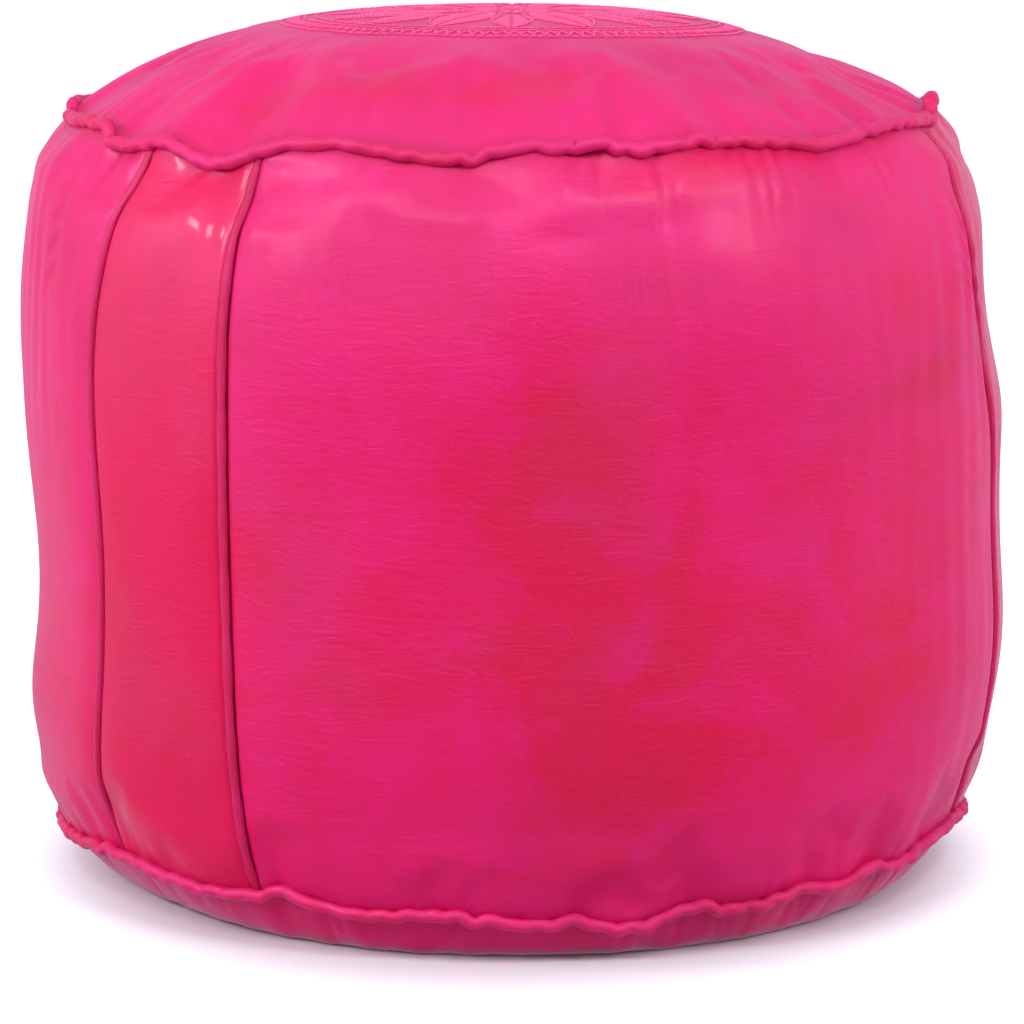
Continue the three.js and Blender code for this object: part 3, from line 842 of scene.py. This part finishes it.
def petal(at, inner, outer, half_width, spacing, starts, ends):
    """Adds a lens-shaped petal: slanting satin stitches on both sides of its vein, and a chain outline."""
    count = int((outer - inner) / spacing)
    edge = []
    for number in range(count + 1):
        run = number / count
        wide = half_width * math.sin(math.pi * run) ** 0.8
        edge.append((inner + (outer - inner) * run, wide))
        if wide < 1.0:
            continue
        radius = inner + (outer - inner) * run
        for side in (-1, 1):
            vein = math.degrees(0.5 * side / radius)
            rim = math.degrees(wide * side / radius)
            starts.append(polar(at + vein, radius - 1.2))
            ends.append(polar(at + rim * 0.93, radius + 1.6))
    for (r_a, w_a), (r_b, w_b) in zip(edge[::2], edge[2::2]):
        for side in (-1, 1):
            starts.append(polar(at + math.degrees((w_a + 1.1) * side / r_a), r_a))
            ends.append(polar(at + math.degrees((w_b + 1.1) * side / r_b), r_b))


rosette_starts, rosette_ends = [], []
for number in range(8):
    petal(number * 45 + 22.5, 26, 96, 13.5, 1.9, rosette_starts, rosette_ends)
    petal(number * 45, 50, 96, 9.0, 1.9, rosette_starts, rosette_ends)
    petal(number * 45, 8, 26, 4.2, 1.7, rosette_starts, rosette_ends)
chain(29, 4.0, rosette_starts, rosette_ends)
chain(5.5, 3.0, rosette_starts, rosette_ends)
chain(99.5, 4.2, rosette_starts, rosette_ends)
rosette = stitch_mesh("embroidered_rosette", rosette_starts, rosette_ends, THREAD_WIDTH,
                      THREAD_HEIGHT)
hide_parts("embroidery_rosette")
band_starts, band_ends = [], []
chain(105, 4.2, band_starts, band_ends)
chain(117.5, 4.2, band_starts, band_ends)
for number in range(240):
    lean = 1.5 if number % 2 else -1.5
    band_starts.append(polar(number * 1.5 - lean / 2, 107.2))
    band_ends.append(polar(number * 1.5 + lean / 2, 115.4))
band = stitch_mesh("embroidered_band", band_starts, band_ends, THREAD_WIDTH, THREAD_HEIGHT)
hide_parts("embroidery_band")
print(len(rosette_starts) + len(band_starts), "stitches")

# %% [markdown]
# The base is two half discs of leather with a zip between them, through which the pouf is stuffed. It stands
# on a foot ring, dips a little in the middle, and shows below the bottom piping as a darker rim with
# gathers. Each half is a grid of straight lines from the zip's mouth to the rim.

# %% Base halves
MOUTH_HALF_LENGTH = 133.0
MOUTH_HALF_WIDTH = 8.0
FOOT_INNER = 170.0
DISH_RADIUS = 156.0
DISH_HEIGHT = 8.0
foot_radius = wave([
    (-175, 206), (-150, 209), (-120, 202), (-90, 199), (-70, 198), (-50, 198), (-32, 207), (-12, 212),
    (2, 210), (14, 212), (32, 211), (50, 205), (70, 200), (90, 200), (120, 205), (150, 209), (172, 206),
])


def rim_share(angle, radius):
    """0 on the foot ring and 1 at the bottom seam. The foot is wider where the pouf sags more."""
    foot = foot_radius(angle)
    return np.clip((radius - foot) / (bottom_radius - foot), 0, 1)


def base_height(angle, radius):
    """Height of the base's outer face at an angle and a radius, in millimetres."""
    rim = rim_share(angle, radius)
    dish = np.clip((FOOT_INNER - radius) / (FOOT_INNER - DISH_RADIUS), 0, 1)
    dish = dish * dish * (3 - 2 * dish)
    rise = (bottom_z + bottom_wave(angle)) * rim ** 2
    return rise + DISH_HEIGHT * dish


def base_half(name, sign, node):
    """One half of the base: sign is 1 for the front half and -1 for the rear."""
    columns = 420
    rows = 96
    share, part = np.meshgrid(close_to_ends(rows, 0.3), np.linspace(0, 1, columns), indexing="ij")
    knots = np.array([[-MOUTH_HALF_LENGTH, 0.35], [-MOUTH_HALF_LENGTH + 0.4, MOUTH_HALF_WIDTH],
                      [MOUTH_HALF_LENGTH - 0.4, MOUTH_HALF_WIDTH], [MOUTH_HALF_LENGTH, 0.35]])
    run = np.array([0, 0.03, 0.97, 1])
    inner_x = np.interp(part, run, knots[:, 0])
    inner_y = np.interp(part, run, knots[:, 1])
    angle = -90 + 180 * part
    outer = round_point(angle, bottom_radius + 0 * part, 0.0)
    flat_x = inner_x * (1 - share) + outer[..., 0] * share
    flat_y = -inner_y * (1 - share) + outer[..., 1] * share
    flat_y = np.minimum(flat_y, -0.35)
    radius = np.hypot(flat_x, flat_y)
    angle = np.degrees(np.arctan2(flat_x, -flat_y))
    world = angle if sign > 0 else 180 - angle
    away = np.maximum(bottom_radius - radius, 0)
    puckers = grooves(world, away, bottom_radius, rim_gathers) * np.clip(away / 2, 0, 1)
    rim = rim_share(world, radius)
    follow = lumps(world, 0.0 + 0 * world, SIDE_LUMPS) * rim
    height = base_height(world, radius) + puckers * 0.5 * np.clip(rim * 3, 0, 1)
    inward = radius + follow - puckers * rim
    height = height + 0.25 * np.clip(rim * 4, 0, 1) * ripples(world, rim, 31, (20, 60), 1)
    height = np.maximum(height, 0.0)
    points = round_point(world, inward, height)
    faces = grid_faces(rows, columns, False)
    if sign < 0:
        faces = faces[:, ::-1]
    # Painted shade: the base is darkened next to the bottom seam and beside the zip's mouth.
    shade = 0.4 * near(away, 4) + 0.5 * near(np.abs(flat_y), 4)
    lay = points * [1, 1, 0]
    values = {
        "painted_seam_shade": np.clip(shade, 0, 1).ravel(),
        "lay": lay.reshape(-1, 3),
        "blush": (0 * shade).ravel(),
    }
    piece = make_mesh(name, points, faces, values)
    thicken(piece, LEATHER)
    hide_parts(node)
    return piece


base_front = base_half("base_front", 1, "base_half_front")
base_rear = base_half("base_rear", -1, "base_half_rear")
print("base halves with a mouth of", 2 * MOUTH_HALF_LENGTH, "x", 2 * MOUTH_HALF_WIDTH, "mm")

# %% [markdown]
# A metal zip has two rows of separate teeth, stamped and clamped on the tapes, that mesh like gears. The CAD
# keeps each row as one bar, so here each bar becomes its teeth: small blocks with rounded corners, half a
# step apart from one row to the other.

# %% Zip teeth
TOOTH_STEP = 2.6
TOOTH_THICKNESS = 1.5


def teeth_row(name, node, shift):
    """The teeth of one row, in the room of its CAD bar. shift is a share of a step."""
    low, high = box_mm(node)
    middle = (low + high) / 2
    half = (high - low) / 2
    count = int((high[0] - low[0]) / TOOTH_STEP) - 1
    places = low[0] + TOOTH_THICKNESS + TOOTH_STEP * (np.arange(count) + shift)
    turn = (np.arange(12) + 0.5) / 12 * 2 * np.pi
    squarish = (np.cos(turn) ** 4 + np.sin(turn) ** 4) ** -0.25
    ring = np.array([0.75, 1.0, 1.0, 0.75])[None, :, None]
    run = np.array([-0.5, -0.36, 0.36, 0.5])[None, :, None] * TOOTH_THICKNESS
    across = middle[1] + half[1] * np.cos(turn)[None, None, :] * squarish * ring
    up = middle[2] + half[2] * np.sin(turn)[None, None, :] * squarish * ring
    points = np.stack(np.broadcast_arrays(places[:, None, None] + run, across, up), axis=-1)
    row = many_rolls(name, points)
    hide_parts(node)
    return row


teeth_front = teeth_row("zip_teeth_row_front", "zip_teeth_front", 0.0)
teeth_rear = teeth_row("zip_teeth_row_rear", "zip_teeth_rear", 0.5)
print("two rows of zip teeth,", TOOTH_STEP, "mm apart")

# %% [markdown]
# Inside the cover lies a cotton bag of three pieces, round a stuffing of cotton waste. They are hidden, but
# they are soft too, so they are made as the cover is: from the same outlines, a few millimetres smaller,
# and with the lumps of the stuffing.

# %% Insert and stuffing
INSERT_GAP = 12.0
STUFFING_GAP = 15.0


def inner_outline(gap, count):
    """Radius and height down the inside, from the middle of the top to the middle of the base."""
    crown_r = np.linspace(0.02, 0.90, count) * top_radius
    crown_z = top_z + crown_rise * (1 - (crown_r / top_radius) ** CROWN_FULLNESS) - gap
    level = np.linspace(0.93, 0.08, count)
    side_r = side_radius(level) - gap
    side_z = bottom_z + level * side_height
    side_z = np.minimum(side_z, crown_z[-1] - 2)
    base_r = np.linspace(0.88, 0.02, count) * bottom_radius
    base_z = 0 * base_r + DISH_HEIGHT + gap
    return (crown_r, crown_z), (side_r, side_z), (base_r, base_z)


def inner_skin(name, radius, height, lumpy, thickness, seed, node):
    """A closed round skin from an outline, with lumps, as a cotton piece."""
    angle = np.arange(240) / 240 * 360 - 180
    line_r, turn = np.meshgrid(radius, angle, indexing="ij")
    line_z = np.meshgrid(height, angle, indexing="ij")[0]
    near_top = np.clip((line_z - top_z + 40) / 40, 0, 1)
    line_z = line_z + lumps(turn, np.minimum(line_r / top_radius, 0.9), CROWN_TILT) * near_top
    level = np.linspace(0, 1, len(radius))[:, None] + 0 * turn
    bumps = lumpy * (ripples(turn, level, seed, (3, 30), 4) - 1.0) * np.clip(line_r / 60, 0, 1)
    points = round_point(turn, np.maximum(line_r + bumps, 1.0), line_z - np.abs(bumps) * 0.4)
    faces = grid_faces(len(radius), 240, True)[:, ::-1].tolist()
    if thickness is None:
        last = (len(radius) - 1) * 240
        faces += [list(range(240)), [last + i for i in range(240)][::-1]]
    piece = make_mesh(name, points, faces, {"lay": points.reshape(-1, 3)})
    if thickness:
        thicken(piece, thickness)
    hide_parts(node)
    return piece


top_line, side_line, base_line = inner_outline(INSERT_GAP, 40)
insert_top = inner_skin("cotton_top", *top_line, 0.8, 1.0, 51, "insert_top")
insert_band = inner_skin("cotton_band", *side_line, 0.8, 1.0, 52, "insert_band")
insert_base = inner_skin("cotton_base", *base_line, 0.3, 1.0, 53, "insert_base")
lines = inner_outline(STUFFING_GAP, 40)
stuffing = inner_skin("stuffing_cotton", np.concatenate([line[0] for line in lines]),
                      np.concatenate([line[1] for line in lines]), 1.0, None, 54, "stuffing")
print("insert and stuffing are inside")

# %% [markdown]
# ## Materials
#
# Every material is built from nodes. One helper adds a node, sets its fields and fills its sockets, either
# with a value or with a link from another node, and another turns a hex colour into the linear values that
# the renderer works with. The short ones after them add the kinds of node that come up again and again.

# %% Material helpers
def linear(hex_colour):
    """A hex sRGB colour as linear red, green, blue and alpha."""
    parts = [int(hex_colour[k:k + 2], 16) / 255 for k in (1, 3, 5)]
    return [p / 12.92 if p <= 0.04045 else ((p + 0.055) / 1.055) ** 2.4 for p in parts] + [1.0]


def add_node(tree, kind, inputs=None, **fields):
    """Adds a node. fields are its own settings; inputs fill its sockets, by name or number."""
    made = tree.nodes.new(kind)
    for field, value in fields.items():
        setattr(made, field, value)
    for socket, value in (inputs or {}).items():
        if isinstance(value, bpy.types.NodeSocket):
            tree.links.new(value, made.inputs[socket])
        else:
            made.inputs[socket].default_value = value
    return made


def new_material(name):
    """An empty material, with its tree and its output node."""
    made = bpy.data.materials.new(name)
    made.use_nodes = True
    made.node_tree.nodes.clear()
    return made, made.node_tree, made.node_tree.nodes.new("ShaderNodeOutputMaterial")


MIX_A, MIX_B, MIX_COLOUR = 6, 7, 2


def maths(tree, operation, *values, clamp=False):
    """Result of a Math node on one to three values."""
    return add_node(tree, "ShaderNodeMath", dict(enumerate(values)), operation=operation,
                    use_clamp=clamp).outputs[0]


def noise(tree, place, scale, **more):
    """A soft noise. more holds its other sockets, such as Detail."""
    return add_node(tree, "ShaderNodeTexNoise", {"Vector": place, "Scale": scale, **more}).outputs["Fac"]


def stretched(tree, place, scale, **more):
    """A place made longer or shorter along each axis."""
    return add_node(tree, "ShaderNodeMapping", {"Vector": place, "Scale": scale, **more}).outputs[0]


def ranged(tree, value, low, high, to_low=0.0, to_high=1.0, **fields):
    """Turns the range from low to high into the range from to_low to to_high, and holds it there."""
    sockets = {"Value": value, "From Min": low, "From Max": high, "To Min": to_low, "To Max": to_high}
    return add_node(tree, "ShaderNodeMapRange", sockets, **fields).outputs[0]


def mixed(tree, share, first, second, **fields):
    """Two colours mixed by a share from 0 to 1."""
    sockets = {0: share, MIX_A: first, MIX_B: second}
    return add_node(tree, "ShaderNodeMix", sockets, data_type="RGBA", **fields).outputs[MIX_COLOUR]


def attribute(tree, name, output="Fac"):
    """Reads a value that the mesh carries."""
    return add_node(tree, "ShaderNodeAttribute", attribute_name=name).outputs[output]


def bumped(tree, height, depth, strength, below=None, **fields):
    """A bump of a depth in millimetres, on top of the bump below it if there is one."""
    sockets = {"Height": height, "Distance": depth * MM, "Strength": strength}
    if below is not None:
        sockets["Normal"] = below
    return add_node(tree, "ShaderNodeBump", sockets, **fields).outputs[0]


print("linear pink", [round(v, 3) for v in linear("#e32a78")])

# %% [markdown]
# Dyed goatskin: vegetable tanned, brushed with dye by hand and rubbed to a satin shine. To the eye that
# means one deep pink with cloudy redder patches where the skin drank more dye, a pebbly grain of 1 to 1.5 mm,
# fine creases and a soft wide shine that breaks up in the creases. The darker seams are painted shade.

# %% Goatskin
def dyed_colour(tree, place, lay, pores, pink, red, edge):
    """Pink with redder clouds, brush streaks, small blotches and pores, and painted shade at the seams."""
    cloud = noise(tree, place, 21.0, Detail=7.0, Roughness=0.6, Distortion=0.7)
    cloud = ranged(tree, cloud, 0.33, 0.68)
    streak = noise(tree, stretched(tree, place, (22.0, 22.0, 70.0)), 1.0, Detail=4.0, Distortion=0.8)
    streak = ranged(tree, streak, 0.35, 0.7)
    blotch = noise(tree, place, 62.0, Detail=6.0, Roughness=0.7, Distortion=0.9)
    blotch = ranged(tree, blotch, 0.36, 0.66, 0.0, 0.20)
    drunk = maths(tree, "MULTIPLY_ADD", cloud, 1.15, 0.35)
    drunk = maths(tree, "MULTIPLY", attribute(tree, "blush"), drunk)
    faint = maths(tree, "MULTIPLY_ADD", cloud, 0.30, blotch)
    brushed = maths(tree, "MULTIPLY_ADD", streak, 0.16, faint)
    amount = maths(tree, "ADD", drunk, brushed, clamp=True)
    colour = mixed(tree, amount, linear(pink), linear(red))
    speck = ranged(tree, pores, 0.1, 0.6, 1.0, 0.86)
    colour = mixed(tree, 1.0, colour, speck, blend_type="MULTIPLY")
    # Painted shade: the colour turns to the darker third colour where the mesh's painted seam shade is high.
    return mixed(tree, attribute(tree, "painted_seam_shade"), colour, linear(edge))


def crease_network(tree, lay):
    """0 along the lines of a fine net of creases and 1 between them."""
    bend = add_node(tree, "ShaderNodeTexNoise", {"Vector": lay, "Scale": 90.0, "Detail": 2.0}).outputs["Color"]
    bend = add_node(tree, "ShaderNodeVectorMath", {0: bend, 1: (0.006, 0.006, 0.0)}, operation="MULTIPLY")
    bent = add_node(tree, "ShaderNodeVectorMath", {0: bend.outputs[0], 1: lay}, operation="ADD").outputs[0]
    bent = stretched(tree, bent, (0.55, 1.0, 1.0), Rotation=(0.0, 0.0, 0.3))
    net = add_node(tree, "ShaderNodeTexVoronoi", {"Vector": bent, "Scale": 1000 / 4.2},
                   feature="DISTANCE_TO_EDGE").outputs["Distance"]
    return ranged(tree, net, 0.0, 0.16)


def goatskin(name, pink, red, edge, roughness, coat, coat_roughness, grain, creases):
    """A dyed goatskin. Colours are hex; grain and creases are bump depths in millimetres."""
    made, tree, output = new_material(name)
    lay = attribute(tree, "lay", "Vector")
    place = add_node(tree, "ShaderNodeTexCoord").outputs["Object"]
    pores = add_node(tree, "ShaderNodeTexVoronoi", {"Vector": lay, "Scale": 1000 / 1.3}).outputs["Distance"]
    fine = noise(tree, lay, 260.0, Detail=6.0, Roughness=0.65)
    crease = noise(tree, stretched(tree, place, (55.0, 55.0, 190.0)), 1.0, Detail=5.0, Roughness=0.6,
                   Distortion=1.2)
    shown = ranged(tree, noise(tree, place, 12.0, Detail=3.0), 0.42, 0.62, 0.08, 0.6)
    bump = bumped(tree, crease, creases, 1.0)
    bump = bumped(tree, crease_network(tree, lay), 1.6 * grain, shown, bump)
    bump = bumped(tree, fine, 1.4 * grain, 1.0, bump)
    bump = bumped(tree, pores, grain, 0.8, bump, invert=True)
    skin = add_node(tree, "ShaderNodeBsdfPrincipled", {
        "Base Color": dyed_colour(tree, place, lay, pores, pink, red, edge),
        "Roughness": ranged(tree, fine, 0.3, 0.7, roughness - 0.07, roughness + 0.09),
        "Normal": bump,
        "IOR": 1.45,
        "Specular IOR Level": 1.0,
        "Specular Tint": linear("#c6b0ff"),
        "Coat Weight": coat,
        "Coat Roughness": coat_roughness,
        "Coat IOR": 1.5,
        "Sheen Weight": 0.02,
        "Sheen Roughness": 0.4,
        "Sheen Tint": linear("#ff9ccd"),
    })
    tree.links.new(skin.outputs[0], output.inputs["Surface"])
    return made


# The third colour of each skin is the painted shade along its seams.
panel_skin = goatskin("dyed goatskin, satin", "#e80a72", "#dc023c", "#a0022a",
                      0.32, 0.10, 0.22, 0.045, 0.4)
strip_skin = goatskin("dyed goatskin, polished", "#e20a54", "#d8043e", "#980226",
                      0.26, 0.35, 0.14, 0.035, 0.3)
crown_skin = goatskin("dyed goatskin, rubbed crown", "#ea1278", "#e00852", "#b0063c",
                      0.35, 0.08, 0.28, 0.055, 0.45)
piping_skin = goatskin("dyed goatskin, folded thin", "#e81670", "#dc0a50", "#a00430",
                       0.38, 0.08, 0.30, 0.06, 0.4)
print("four goatskins, from satin to polished")

# %% [markdown]
# Silk embroidery thread: two fine plies twisted together. Its light comes as a soft sheen along each stitch,
# and the twist shows as slanting lines about 0.6 mm apart.

# %% Silk thread
def silk(name, light, dark):
    """Twisted silk thread, in two hex colours."""
    made, tree, output = new_material(name)
    parts = add_node(tree, "ShaderNodeSeparateXYZ", {0: attribute(tree, "lay", "Vector")})
    along = maths(tree, "MULTIPLY", parts.outputs[0], 2 * math.pi / 0.6)
    twist = maths(tree, "SINE", maths(tree, "ADD", along, parts.outputs[1]))
    ply = maths(tree, "MULTIPLY_ADD", twist, 0.5, 0.5)
    each = add_node(tree, "ShaderNodeTexWhiteNoise", {1: parts.outputs[2]}, noise_dimensions="1D").outputs[0]
    # Painted shade, besides the bump: the grooves between the plies are darker and their crests lighter; each
    # stitch also gets its own random tone.
    shade = maths(tree, "MULTIPLY_ADD", ply, 0.35, each)
    shade = maths(tree, "MULTIPLY", shade, 0.7, clamp=True)
    thread = add_node(tree, "ShaderNodeBsdfPrincipled", {
        "Base Color": mixed(tree, shade, linear(dark), linear(light)),
        "Roughness": 0.38,
        "Normal": bumped(tree, ply, 0.12, 0.7),
        "IOR": 1.54,
        "Sheen Weight": 0.5,
        "Sheen Roughness": 0.3,
        "Sheen Tint": linear("#ffc0dd"),
    })
    tree.links.new(thread.outputs[0], output.inputs["Surface"])
    return made


silk_thread = silk("twisted silk thread", "#f04a90", "#e4307c")
print("silk thread with a twist of 0.6 mm")

# %% [markdown]
# Cotton comes four times: calico for the insert, a twisted cord in the piping, loose waste for the stuffing
# and a woven tape for the zip. All are matt. A weave is two sets of threads at right angles, which is the
# product of two sine waves at the thread spacing; the loose cotton is only soft noise.

# %% Cotton
def cotton(name, light, dark, spacing, loose):
    """Cotton cloth or waste. spacing is the thread spacing in millimetres."""
    made, tree, output = new_material(name)
    place = add_node(tree, "ShaderNodeTexCoord").outputs["Object"]
    parts = add_node(tree, "ShaderNodeSeparateXYZ", {0: place})
    rate = 2 * math.pi / (spacing * MM)
    turned = maths(tree, "ADD", parts.outputs[1], parts.outputs[0])
    warp = maths(tree, "SINE", maths(tree, "MULTIPLY", turned, rate))
    upright = maths(tree, "SUBTRACT", parts.outputs[2], parts.outputs[0])
    weft = maths(tree, "SINE", maths(tree, "MULTIPLY", upright, rate))
    weave = maths(tree, "MULTIPLY", warp, weft)
    fluff = noise(tree, place, 180.0, Detail=6.0)
    height = maths(tree, "MULTIPLY_ADD", weave, 0.0 if loose else 0.5, fluff)
    # Painted shade with random tone: the colour follows the bump's height, darker in the hollows of the weave
    # and the fluff, lighter on their crests.
    shade = ranged(tree, height, 0.1, 0.9)
    cloth = add_node(tree, "ShaderNodeBsdfPrincipled", {
        "Base Color": mixed(tree, shade, linear(dark), linear(light)),
        "Roughness": 0.85,
        "Normal": bumped(tree, height, 0.3, 0.6),
        "IOR": 1.5,
        "Sheen Weight": 0.2,
    })
    tree.links.new(cloth.outputs[0], output.inputs["Surface"])
    return made


calico = cotton("woven calico", "#e9e2d2", "#cfc6b0", 1.2, False)
cord_cotton = cotton("twisted cotton cord", "#dcd3bd", "#b9ad92", 1.0, False)
loose_cotton = cotton("loose cotton waste", "#d8cfc0", "#aba08c", 3.0, True)
tape_cotton = cotton("woven zip tape", "#a81a55", "#7d0f3b", 0.8, False)
print("four cottons")

# %% [markdown]
# Stamped brass, polished in a barrel and then worn by the hand: the real metal is bright on its edges and
# duller in its hollows; here it is brighter and duller in soft random patches, with fine scratches. A metal
# keeps the default IOR and takes its colour from its base colour.

# %% Brass
brass, tree, output = new_material("stamped brass, worn")
place = add_node(tree, "ShaderNodeTexCoord").outputs["Object"]
stain = noise(tree, place, 220.0, Detail=5.0)
scratch = noise(tree, stretched(tree, place, (300.0, 4000.0, 4000.0)), 1.0, Detail=3.0)
worn = ranged(tree, stain, 0.35, 0.65)
metal = add_node(tree, "ShaderNodeBsdfPrincipled", {
    "Base Color": mixed(tree, worn, linear("#9c7a3c"), linear("#d8b466")),
    "Metallic": 1.0,
    "Roughness": ranged(tree, stain, 0.0, 1.0, 0.42, 0.22),
    "Normal": bumped(tree, scratch, 0.03, 0.5),
})
tree.links.new(metal.outputs[0], output.inputs["Surface"])
print("brass for the zip")

# %% [markdown]
# Now each piece gets its finish and the body that it rides on. Everything soft rides
# on the cover; the slider and its pull tab are CAD nodes and ride on their own bodies already.

# %% Finishes and bodies
def finish_piece(piece, material):
    """Gives a piece its material and its slot, and makes it ride on the cover."""
    piece.data.materials.clear()
    piece.data.materials.append(material)
    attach(piece, "cover")


finish_piece(crown, crown_skin)
for piece in panels + [base_front, base_rear]:
    finish_piece(piece, panel_skin)
for piece in strips:
    finish_piece(piece, strip_skin)
for piece in welts + [top_piping, bottom_piping]:
    finish_piece(piece, piping_skin)
for piece in (rosette, band):
    finish_piece(piece, silk_thread)
for piece in (top_cord, bottom_cord):
    finish_piece(piece, cord_cotton)
for piece in (insert_top, insert_band, insert_base):
    finish_piece(piece, calico)
finish_piece(stuffing, loose_cotton)
for piece in (teeth_front, teeth_rear):
    finish_piece(piece, brass)
for node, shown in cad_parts.items():
    if node.startswith("zip_"):
        material = tape_cotton if "tape" in node else brass
        for place in shown.material_slots:
            place.material = material

# %% [markdown]
# ## Studio
#
# A white floor and a brighter surround behind, as in a plain product shot. The bright surround gives the pale
# rims on both sides of the pouf, because leather reflects most at a grazing angle. To the camera the floor
# glows a little away from the pouf and hardly near it: painted light that turns it pure white and paints the
# edge of the soft shadow at the foot.

# %% Floor and world
floor_mesh = bpy.data.meshes.new("floor")
REACH = 30.0
floor_mesh.from_pydata([(-REACH, -REACH, 0), (REACH, -REACH, 0), (REACH, REACH, 0), (-REACH, REACH, 0)], [],
                       [(0, 1, 2, 3)])
floor = bpy.data.objects.new("floor", floor_mesh)
bpy.context.scene.collection.objects.link(floor)
paper, tree, output = new_material("white studio paper")
place = add_node(tree, "ShaderNodeTexCoord").outputs["Object"]
tooth = noise(tree, place, 3.0, Detail=3.0)
seen = add_node(tree, "ShaderNodeLightPath").outputs["Is Camera Ray"]
wider = stretched(tree, place, (1.2, 1.0, 1.0))
away = add_node(tree, "ShaderNodeVectorMath", {0: wider}, operation="LENGTH").outputs["Value"]
# Painted light: the floor glows to the camera only, from almost nothing near the foot to full away from it,
# which paints where the soft shadow ends.
painted_floor_glow = ranged(tree, away, 0.235, 0.35, 0.02, 1.0, interpolation_type="SMOOTHSTEP")
sheet = add_node(tree, "ShaderNodeBsdfPrincipled", {
    "Base Color": mixed(tree, tooth, linear("#cdc8d2"), linear("#d3cfd8")),
    "Roughness": 0.9,
    "Specular IOR Level": 0.1,
    "Emission Color": linear("#f3f6ff"),
    "Emission Strength": maths(tree, "MULTIPLY", seen, painted_floor_glow),
})
tree.links.new(sheet.outputs[0], output.inputs["Surface"])
floor_mesh.materials.append(paper)

world = bpy.data.worlds.new("studio")
bpy.context.scene.world = world
world.use_nodes = True
tree = world.node_tree
tree.nodes.clear()
output = tree.nodes.new("ShaderNodeOutputWorld")
direction = add_node(tree, "ShaderNodeTexCoord").outputs["Generated"]
forward = add_node(tree, "ShaderNodeSeparateXYZ", {0: direction}).outputs[1]
glow = ranged(tree, forward, -0.1, 0.9, 0.02, 0.72, interpolation_type="SMOOTHSTEP")
surround = add_node(tree, "ShaderNodeBackground", {"Color": linear("#e8dcff"), "Strength": glow}).outputs[0]
tree.links.new(surround, output.inputs["Surface"])
print("floor and world")

# %% [markdown]
# Six soft lights make the highlights: two from the left for the bright patch on the panel, two from the
# right, a narrow one for the edge of the polished strip, and one above. Three wide fills lift the shade
# without showing in the shine, which keeps the leather deep in colour. Each is a row in one table.

# %% Lights
def softbox(name, turn, rise, distance, size, power):
    """A square soft light, turned towards the pouf from an angle round it and above it, in degrees."""
    light = bpy.data.lights.new(name, "AREA")
    light.shape = "SQUARE"
    light.size = size
    light.energy = power
    made = bpy.data.objects.new(name, light)
    bpy.context.scene.collection.objects.link(made)
    flat = distance * math.cos(math.radians(rise))
    aim = (cad_low + cad_high) / 2
    made.location = (flat * math.sin(math.radians(turn)), -flat * math.cos(math.radians(turn)),
                     aim.z + distance * math.sin(math.radians(rise)))
    made.rotation_euler = (aim - made.location).to_track_quat("-Z", "Y").to_euler()
    return made


# name, turn, rise, distance, size, power in watts
BRIGHT_LIGHTS = [
    ("key_high", -27, 44, 2.5, 0.85, 19),
    ("key_low", -53, 28, 2.5, 0.8, 24),
    ("fill_high", 34, 46, 2.5, 0.7, 19),
    ("fill_low", 55, 30, 2.5, 0.65, 16),
    ("strip_edge", -78, 30, 2.5, 0.45, 12),
    ("above", 10, 84, 2.4, 1.4, 7),
]
WIDE_FILLS = [
    ("front_wide", 8, 2, 3.6, 2.4, 23),
    ("left_wide", -95, 14, 2.6, 1.6, 24),
    ("right_wide", 95, 14, 2.6, 1.6, 32),
]
for row in BRIGHT_LIGHTS:
    softbox(*row)
for row in WIDE_FILLS:
    wide = softbox(*row)
    wide.visible_glossy = False
floor.visible_glossy = False
print("nine soft lights")

# %% [markdown]
# The camera stands two and a quarter metres in front of the pouf, a little above its crown, and looks down
# by about ten degrees, with a long lens so that the sides stay upright.

# %% Camera
CAMERA_PLACE = (0.0, -2.25, 0.5652)
CAMERA_PITCH = 9.775
CAMERA_LENS = 155.2
SENSOR_WIDTH = 36
camera_data = bpy.data.cameras.new("camera")
camera_data.lens = CAMERA_LENS
camera_data.sensor_width = SENSOR_WIDTH
camera = bpy.data.objects.new("camera", camera_data)
bpy.context.scene.collection.objects.link(camera)
camera.location = CAMERA_PLACE
camera.rotation_euler = (math.radians(90 - CAMERA_PITCH), 0, 0)
bpy.context.scene.camera = camera
bpy.context.scene.view_settings.view_transform = "Standard"
print("camera with a lens of", camera_data.lens, "mm")
